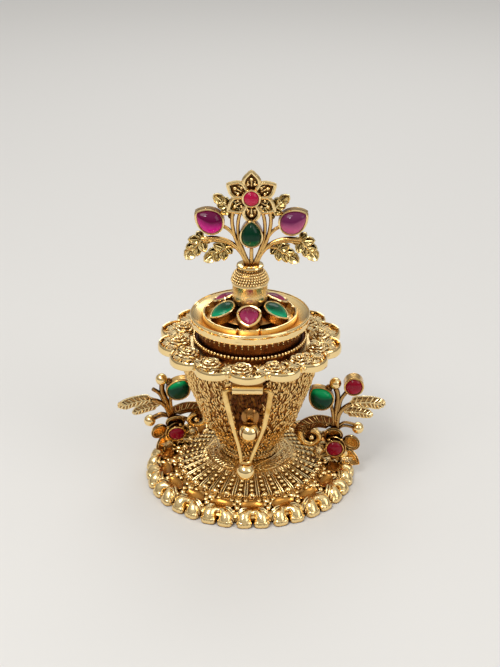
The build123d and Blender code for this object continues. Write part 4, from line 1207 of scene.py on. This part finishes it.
# %% Flower petals
FLOWER_HEIGHT = 65.75
PETAL_EDGE = [(0.2, 0.7), (1.2, 1.4), (2.1, 1.62), (3.0, 1.3), (3.75, 0.6), (4.3, 0.0)]
PETAL_EDGE += [(x, -y) for x, y in PETAL_EDGE[-2::-1]]
bm, floors = bmesh.new(), bmesh.new()
for n in range(6):
    place = at(0, FLOWER_HEIGHT) @ turned_by(90 + n * 60) @ at(1.15, 0, 0)
    wire(bm, smooth_path([place @ Vector((x, y, 0.25)) for x, y in PETAL_EDGE], 2), 0.42, 8)
    stamp(floors, solid(slab, PETAL_EDGE, -0.5, -0.12), [place])
    stamp(bm, bead, [place @ at(2.7, 0, 0.25) @ sized(0.44)])
    wire(bm, [place @ Vector((1.2, 0, 0.1)), place @ Vector((2.7, 0, 0.1))], [0.12, 0.18], 6)
    for side in (-1, 1):
        stamp(bm, bead, [place @ at(1.55, side * 0.72, 0.15) @ sized(0.4)])
        wire(bm, [place @ Vector((1.6, side * 0.75, 0.1)), place @ Vector((2.3, side * 0.75, 0.1))], 0.15, 6)
for part in (bm, floors):
    bmesh.ops.transform(part, matrix=TREE, verts=part.verts)
finish("tree_petals", bm, cast, "lid", "tree_flower")
finish("tree_petal_floors", floors, bronze, "lid")

# %% [markdown]
# The four stones face the viewer, in settings whose mouths lie just before the leaves.

# %% Settings and stones of the tree
FACE = at(0, 0, 0.9)
TREE_WALL, TREE_INSET = 0.34, 0.3
# Each stone: place, radius and tip of its setting, rise, piece, material, slot and node.
TREE_STONES = (
    (at(0, FLOWER_HEIGHT), 1.95, 1.95, 1.2, "round", rose, "red_glass", "tree_ruby"),
    (at(0, 57.55) @ turned_by(90), 2.45, 3.7, 1.7, "green", green, "green_glass", "tree_green_stone"),
    (at(-8.2, 60.6) @ turned_by(147), 2.75, 3.9, 1.8, "left", magenta, "pink_glass", "tree_pink_stones"),
    (at(8.2, 60.6) @ turned_by(33), 2.75, 3.9, 1.8, "right", dusty, "pink_glass", None),
)
bm, lips = bmesh.new(), bmesh.new()
for place, radius, tip, *_ in TREE_STONES:
    stamp(bm, solid(setting, radius, tip, 1.7, 0.45), [TREE @ place @ FACE])
    stamp(lips, solid(lip, radius, tip, 0.42), [TREE @ place @ FACE])
finish("tree_settings", bm, shaded_strap, "lid", "tree_bezels")
finish("tree_setting_lips", lips, polished, "lid")
for place, radius, tip, rise, word, material, slot, node in TREE_STONES:
    bm = bmesh.new()
    stamp(bm, solid(cabochon, radius, tip, rise, TREE_WALL, TREE_INSET), [TREE @ place @ FACE])
    finish(f"tree_{word}_cabochon", bm, material, "lid", node)

# %% [markdown]
# ## The side sprays
# Each spray is a small casting that stands at the edge of the dome: a flower with a red
# stone, an arched leaf that ends in a curl with a bead, two slender leaves, a drop-shaped
# green stone and polished balls. The left one is turned and leans forwards, and it lacks
# the round stone that the right one carries. A spray is drawn once, in its own plane.

# %% The sprays' planes
def spray_matrix(origin, roll=0.0, lean=0.0, yaw=0.0, side=1):
    """X outwards, Y up and Z towards the viewer, in the plane of one spray."""
    stand = turned_by(yaw) @ turned_by(lean, "X") @ turned_by(-roll, "Y") @ turned_by(90, "X")
    return at(*origin) @ stand @ sized(side, 1, 1)


SPRAYS = {"right": spray_matrix((18.65, 0.0, 6.1)),
          "left": spray_matrix((-16.6, 5.0, 6.8), 12.4, 13.0, 9.0, -1)}

# %% [markdown]
# A leaf of the spray is a flattened wire that swells and narrows. Ribs slant from its
# midrib to its edges. The arch is made in the same way, wider and blunter.

# %% Blades and their ribs
# Each blade: its centre line, half width, thickness, blunt share, ribs and their width.
LEAVES = (([(2.6, 11.0, 0.2), (4.6, 11.9, 0.4), (7.2, 12.0, 0.35), (9.2, 11.6, 0.2), (10.6, 11.9, 0.1)],
           1.35, 0.26, 0.35, 9, 0.21),
          ([(1.8, 9.4, 0.1), (4.0, 9.5, 0.25), (6.2, 9.2, 0.2), (8.1, 8.5, 0.1)], 1.15, 0.26, 0.35, 7, 0.17))
ARCH = ([(0.0, 5.6, 0.1), (-1.7, 6.8, 0.4), (-3.9, 7.2, 0.6), (-5.9, 6.6, 0.7), (-7.2, 5.2, 0.5),
         (-7.6, 3.4, 0.3)], 1.5, 0.24, 0.85, 15, 0.16)


def blade(line, width, blunt):
    """The path of a blade and its half width at each point."""
    path = smooth_path(line, 5)
    count = len(path)
    return path, [width * max(0.1, min(1.0, sin(pi * (n / (count - 1)) ** 0.85)
                                       + blunt * (0.15 < n / count < 0.93))) for n in range(count)]


def blade_sheet(bm, line, width, thick, blunt):
    """The flat body of a blade."""
    wire(bm, *blade(line, width, blunt), 12, thick)


def across(path, n):
    """Directions along and across a path at one of its points."""
    along = (path[min(n + 1, len(path) - 1)] - path[max(n - 1, 0)]).normalized()
    return along, Vector((-along.y, along.x, 0))


def blade_ribs(bm, line, width, thick, blunt, ribs, rib):
    """The rounded edges, midrib and slanting ribs that lie on a blade."""
    path, widths = blade(line, width, blunt)
    for side in (-1, 1):
        edge = [path[n] + across(path, n)[1] * side * widths[n] * 0.97 + Vector((0, 0, 0.05))
                for n in range(len(path))]
        wire(bm, edge, rib * 0.9, 6)
    for k in range(ribs):
        n = 1 + int((len(path) - 3) * (k + 0.5) / ribs)
        along, aside = across(path, n)
        for side in (-1, 1):
            points = [path[n] + aside * side * widths[n] * s + along * 0.7 * s * widths[n]
                      + Vector((0, 0, widths[n] * thick * (1 - s * s) ** 0.5 + 0.03))
                      for s in (0.05, 0.45, 0.85)]
            wire(bm, points, [rib * 0.8, rib, rib * 0.7], 5)
    wire(bm, [p + Vector((0, 0, w * thick)) for p, w in zip(path, widths)], rib * 0.9, 6)


# %% [markdown]
# The casting is a main stem with branches to the stones, the leaves and the ball. It
# stands on a short flattened foot. Ribs and shells are brighter than the stems, a painted
# highlight on the raised ribs against painted shade on the stems and blades, so they are a
# piece of their own.

# %% Casting, ribs and arch of a spray
# Each stem: its line and half width.
SPRAY_STEMS = (
    ([(0.0, 2.4, -0.7), (0.05, 4.6, -0.6), (0.1, 6.2, 0), (0.2, 10.2, 0), (0.35, 13.2, 0), (-0.2, 15.4, 0.1)],
     0.62),
    ([(-0.5, 4.6, 0.1), (-0.5, 8.4, 0.2), (-1.1, 11.4, 0.1), (-1.5, 13.6, 0)], 0.42),
    ([(0.4, 5.0, 0.2), (0.6, 8.2, 0.3), (1.6, 10.2, 0.3), (3.2, 11.4, 0.3)], 0.52),
    ([(0.6, 9.5, 0.1), (1.1, 12.4, 0.1), (2.2, 14.2, 0.2)], 0.45),
    ([(0.3, 5.4, 0.1), (2.0, 6.7, 0.1), (4.4, 6.2, 0.1)], 0.32),
    ([(0.3, 4.9, 0.1), (2.0, 5.9, 0.1), (4.3, 5.4, 0.1)], 0.32),
    ([(-0.4, 4.9, 0), (-1.8, 4.2, 0.1), (-3.0, 3.4, 0.2), (-3.4, 2.6, 0.2)], 0.5),
)
# Each shell at the foot: place, direction and length.
SHELLS = ((-0.6, -1.9, -105, 2.2), (2.2, -2.1, -62, 2.3), (-2.6, 0.0, 182, 2.0))


def spray_body(bm):
    """Stems, foot and leaf blades of a spray, with the ribs of its arch."""
    for line, width in SPRAY_STEMS:
        wire(bm, smooth_path(line, 5), width, 10)
    globe(bm, 0.85, 12, 8, at(-1.6, 15.0, -0.1))
    blade_ribs(bm, *ARCH)
    wire(bm, [(0, -1.5, -0.2), (0, -3.0, -0.2), (0, -4.2, -0.2)], [1.3, 1.7, 1.9], 12, 0.45)
    for leaf in LEAVES:
        blade_sheet(bm, *leaf[:4])


def spray_ribs(bm):
    """The bright ribs and edges of the leaves, with the pale shells at the spray's foot."""
    for leaf in LEAVES:
        blade_ribs(bm, *leaf)
    for x, y, turn_here, reach in SHELLS:
        stamp(bm, solid(fan, 7, reach, 120), [at(x, y, -0.1) @ turned_by(turn_here)])


def spray_scroll(bm):
    """The dark ground of the scroll: the arch's blade, and a disc inside the curl."""
    blade_sheet(bm, *ARCH[:4])
    globe(bm, 1.7, 16, 8, at(-5.2, 3.2, -0.2) @ sized(1, 1, 0.25))


# %% [markdown]
# The flower has cupped petals, all rounded but one, and a ring of beads under the red
# stone. A thin wire edges the outer petals.

# %% Petals, curl and balls of a spray
# Each petal: its middle, half width, length share, direction and whether its end is pointed.
PETALS = ((-0.4, 3.6, 1.75, 1.1, 90, False), (3.7, 1.8, 1.6, 1.0, 20, False),
          (-3.0, -0.3, 1.3, 1.2, 185, False), (3.0, -1.7, 1.5, 1.7, -28, True),
          (0.2, 0.7, 2.0, 1.0, 0, False))
PETAL_LEVELS = [(0.8, -0.5), (1.0, 0.1), (1.02, 0.36), (0.98, 0.44), (0.9, 0.36), (0.75, 0.15), (0.45, 0.02),
                (0.1, 0.0)]
CURL = [(-7.6, 4.8, 0.3), (-7.5, 3.0, 0.4), (-6.5, 1.7, 0.5), (-5.0, 1.45, 0.6), (-3.75, 2.3, 0.7),
        (-3.5, 3.6, 0.75), (-4.3, 4.6, 0.8), (-5.3, 4.8, 0.8)]
# Each ball: across, up, out and radius.
BALLS = ((-0.25, 16.3, 0.15, 1.32), (5.0, 5.4, 0.15, 1.32), (-5.15, 3.15, 0.7, 0.62))


def petal_outline(half, share, pointed):
    if pointed:
        return drop(half, half * share, 24)
    return [(half * share * cos(k * pi / 12), half * sin(k * pi / 12)) for k in range(24)]


def petal_place(x, y, turn_here):
    return at(x, y, 0.1) @ turned_by(turn_here) @ turned_by(-18, "Y")


def spray_petals(bm):
    """Cupped petals behind the red stone."""
    for x, y, half, share, turn_here, pointed in PETALS:
        cup = solid(mound, petal_outline(half, share, pointed), PETAL_LEVELS)
        stamp(bm, cup, [petal_place(x, y, turn_here)])
    for n in range(5):
        globe(bm, 0.4, 10, 6, at(0.1, 0.7) @ turned_by(54 + n * 72) @ at(2.35, 0, 0.6))


def spray_lips(bm):
    """The curl, and a thin bright wire on the edge of each petal but the middle one."""
    path = smooth_path(CURL, 5)
    wire(bm, path, [0.8 - 0.011 * n for n in range(len(path))], 10, 0.8)
    for x, y, half, share, turn_here, pointed in PETALS[:-1]:
        place = petal_place(x, y, turn_here)
        edge = [place @ Vector((px, py, 0.42)) for px, py in petal_outline(half, share, pointed)]
        wire(bm, edge, 0.12, 6, closed=True)


def spray_balls(bm):
    for x, y, z, radius in BALLS:
        globe(bm, radius, 28, 18, at(x, y, z))


# %% [markdown]
# Both sprays come from the same builders. The right one has a second red stone on top.

# %% Both sprays
# Each layer: its word, builder, material and the node it stands for.
LAYERS = (("casting", spray_body, stalk, "spray"), ("ribs", spray_ribs, crumpled, None),
          ("scroll", spray_scroll, dark_and_shade_gold, None), ("petals", spray_petals, twig, None),
          ("petal_lips", spray_lips, twig, None), ("polished_balls", spray_balls, polished, "spray_balls"))
# Each stone: place, radius and tip of its setting, and its depth.
GREEN_SEATS = [(at(-3.1, 12.75, 0.9) @ turned_by(128), 2.7, 3.55, 1.4)]
RED_SEATS = [(at(0, 0.5, 0.9), 2.1, 2.1, 1.4)]
TOP_SEATS = [(at(3.7, 16.2, 1.5), 2.15, 2.15, 2.4)]
for side, place in SPRAYS.items():
    for word, build, material, node in LAYERS:
        bm = bmesh.new()
        stamp(bm, solid(build), [place])
        finish(f"{side}_spray_{word}", bm, material, "root", f"{side}_{node}" if node else None)
    reds = RED_SEATS + TOP_SEATS if side == "right" else RED_SEATS
    bm, lips = bmesh.new(), bmesh.new()
    for seat, radius, tip, depth in GREEN_SEATS + reds:
        stamp(bm, solid(setting, radius, tip, depth), [place @ seat])
        stamp(lips, solid(lip, radius, tip, 0.36), [place @ seat])
    finish(f"{side}_spray_settings", bm, twig, "root", f"{side}_spray_bezels")
    finish(f"{side}_spray_setting_lips", lips, twig, "root")
    for kind, seats, rise, colour, node, slot in (
        ("green", GREEN_SEATS, 1.5, sprig_green, "green_stone", "green_glass"),
        ("ruby", reds, 1.0, ruby, "ruby_stones", "red_glass"),
    ):
        bm = bmesh.new()
        for seat, radius, tip, depth in seats:
            stamp(bm, solid(cabochon, radius, tip, rise, 0.3), [place @ seat])
        finish(f"{side}_spray_{kind}_cabochons", bm, colour, "root", f"{side}_spray_{node}")

# %% [markdown]
# ## Floor, light and camera
# The photograph is taken from a little above against a seamless pale ground.

# %% Floor
FLOOR_HALF, FLOOR_DROP = 3.0, 0.00002
bm = bmesh.new()
bmesh.ops.create_grid(bm, x_segments=1, y_segments=1, size=FLOOR_HALF, matrix=at(0, 0, -FLOOR_DROP))
mesh = bpy.data.meshes.new("floor")
bm.to_mesh(mesh)
bm.free()
floor = bpy.data.objects.new("floor", mesh)
bpy.context.scene.collection.objects.link(floor)
paper, _, shader = start_material("pale_ground")
shader.inputs["Base Color"].default_value = (0.72, 0.71, 0.69, 1)
shader.inputs["Roughness"].default_value = 0.7
mesh.materials.append(paper)

# %% [markdown]
# One broad light from above and the left gives the metal its long highlights, with a
# small one near it for sparks. A weaker one fills the right, and one behind lights the
# lid's far edge.

# %% Lights
AIM = (0, 0, 0.03)
WHITE = (1.0, 0.99, 0.97)


def panel(name, place, width, height, power, colour):
    """A rectangular light that faces the middle of the box."""
    lamp = bpy.data.lights.new(name, "AREA")
    lamp.shape = "RECTANGLE"
    lamp.size, lamp.size_y = width, height
    lamp.energy = power
    lamp.color = colour
    holder = bpy.data.objects.new(name, lamp)
    bpy.context.scene.collection.objects.link(holder)
    holder.location = place
    holder.rotation_euler = (Vector(AIM) - Vector(place)).to_track_quat("-Z", "Y").to_euler()


panel("key", (-0.22, -0.22, 0.50), 0.30, 0.24, 1.12, (1.0, 0.985, 0.96))
panel("spark", (-0.12, -0.30, 0.34), 0.06, 0.06, 0.25, WHITE)
panel("fill", (0.40, -0.25, 0.30), 0.25, 0.35, 0.5, WHITE)
panel("back", (0.05, 0.42, 0.38), 0.40, 0.20, 0.5, (1.0, 1.0, 1.0))

# %% [markdown]
# The world is a calm warm grey that brightens towards the top.

# %% World
WORLD_STRENGTH = 0.72
LOW_SKY, HIGH_SKY = 0.45, 0.9
world = bpy.data.worlds.new("room")
bpy.context.scene.world = world
world.use_nodes = True
tree = world.node_tree
ground = tree.nodes["Background"]
ray_way = add_node(tree, "TexCoord")
axis = add_node(tree, "SeparateXYZ")
sky = add_ramp(tree, LOW_SKY, (0.16, 0.13, 0.10), HIGH_SKY, WHITE)
lift = add_node(tree, "Math", {1: 0.5, 2: 0.5}, operation="MULTIPLY_ADD")
link(tree, ray_way.outputs["Generated"], axis.inputs["Vector"])
link(tree, axis.outputs["Z"], lift.inputs[0])
link(tree, lift.outputs[0], sky.inputs["Fac"])
link(tree, sky.outputs["Color"], ground.inputs["Color"])
ground.inputs["Strength"].default_value = WORLD_STRENGTH

# %% [markdown]
# The camera's place, tilt and lens are fitted so that the render lies over the object in
# the photograph.

# %% Camera
FOCAL = 67.6
DISTANCE, HEIGHT = 0.24035, 0.14704
DOWN = 25.2
YAW = radians(1.7)
lens = bpy.data.cameras.new("camera")
lens.sensor_fit = "VERTICAL"
lens.sensor_height = 36.0
lens.lens = FOCAL
lens.clip_start = 0.01
camera = bpy.data.objects.new("camera", lens)
bpy.context.scene.collection.objects.link(camera)
camera.location = (DISTANCE * sin(YAW), -DISTANCE * cos(YAW), HEIGHT)
camera.rotation_euler = (radians(90 - DOWN), 0, YAW)
bpy.context.scene.camera = camera

# %% Finish
bpy.context.scene.view_settings.view_transform = "Standard"
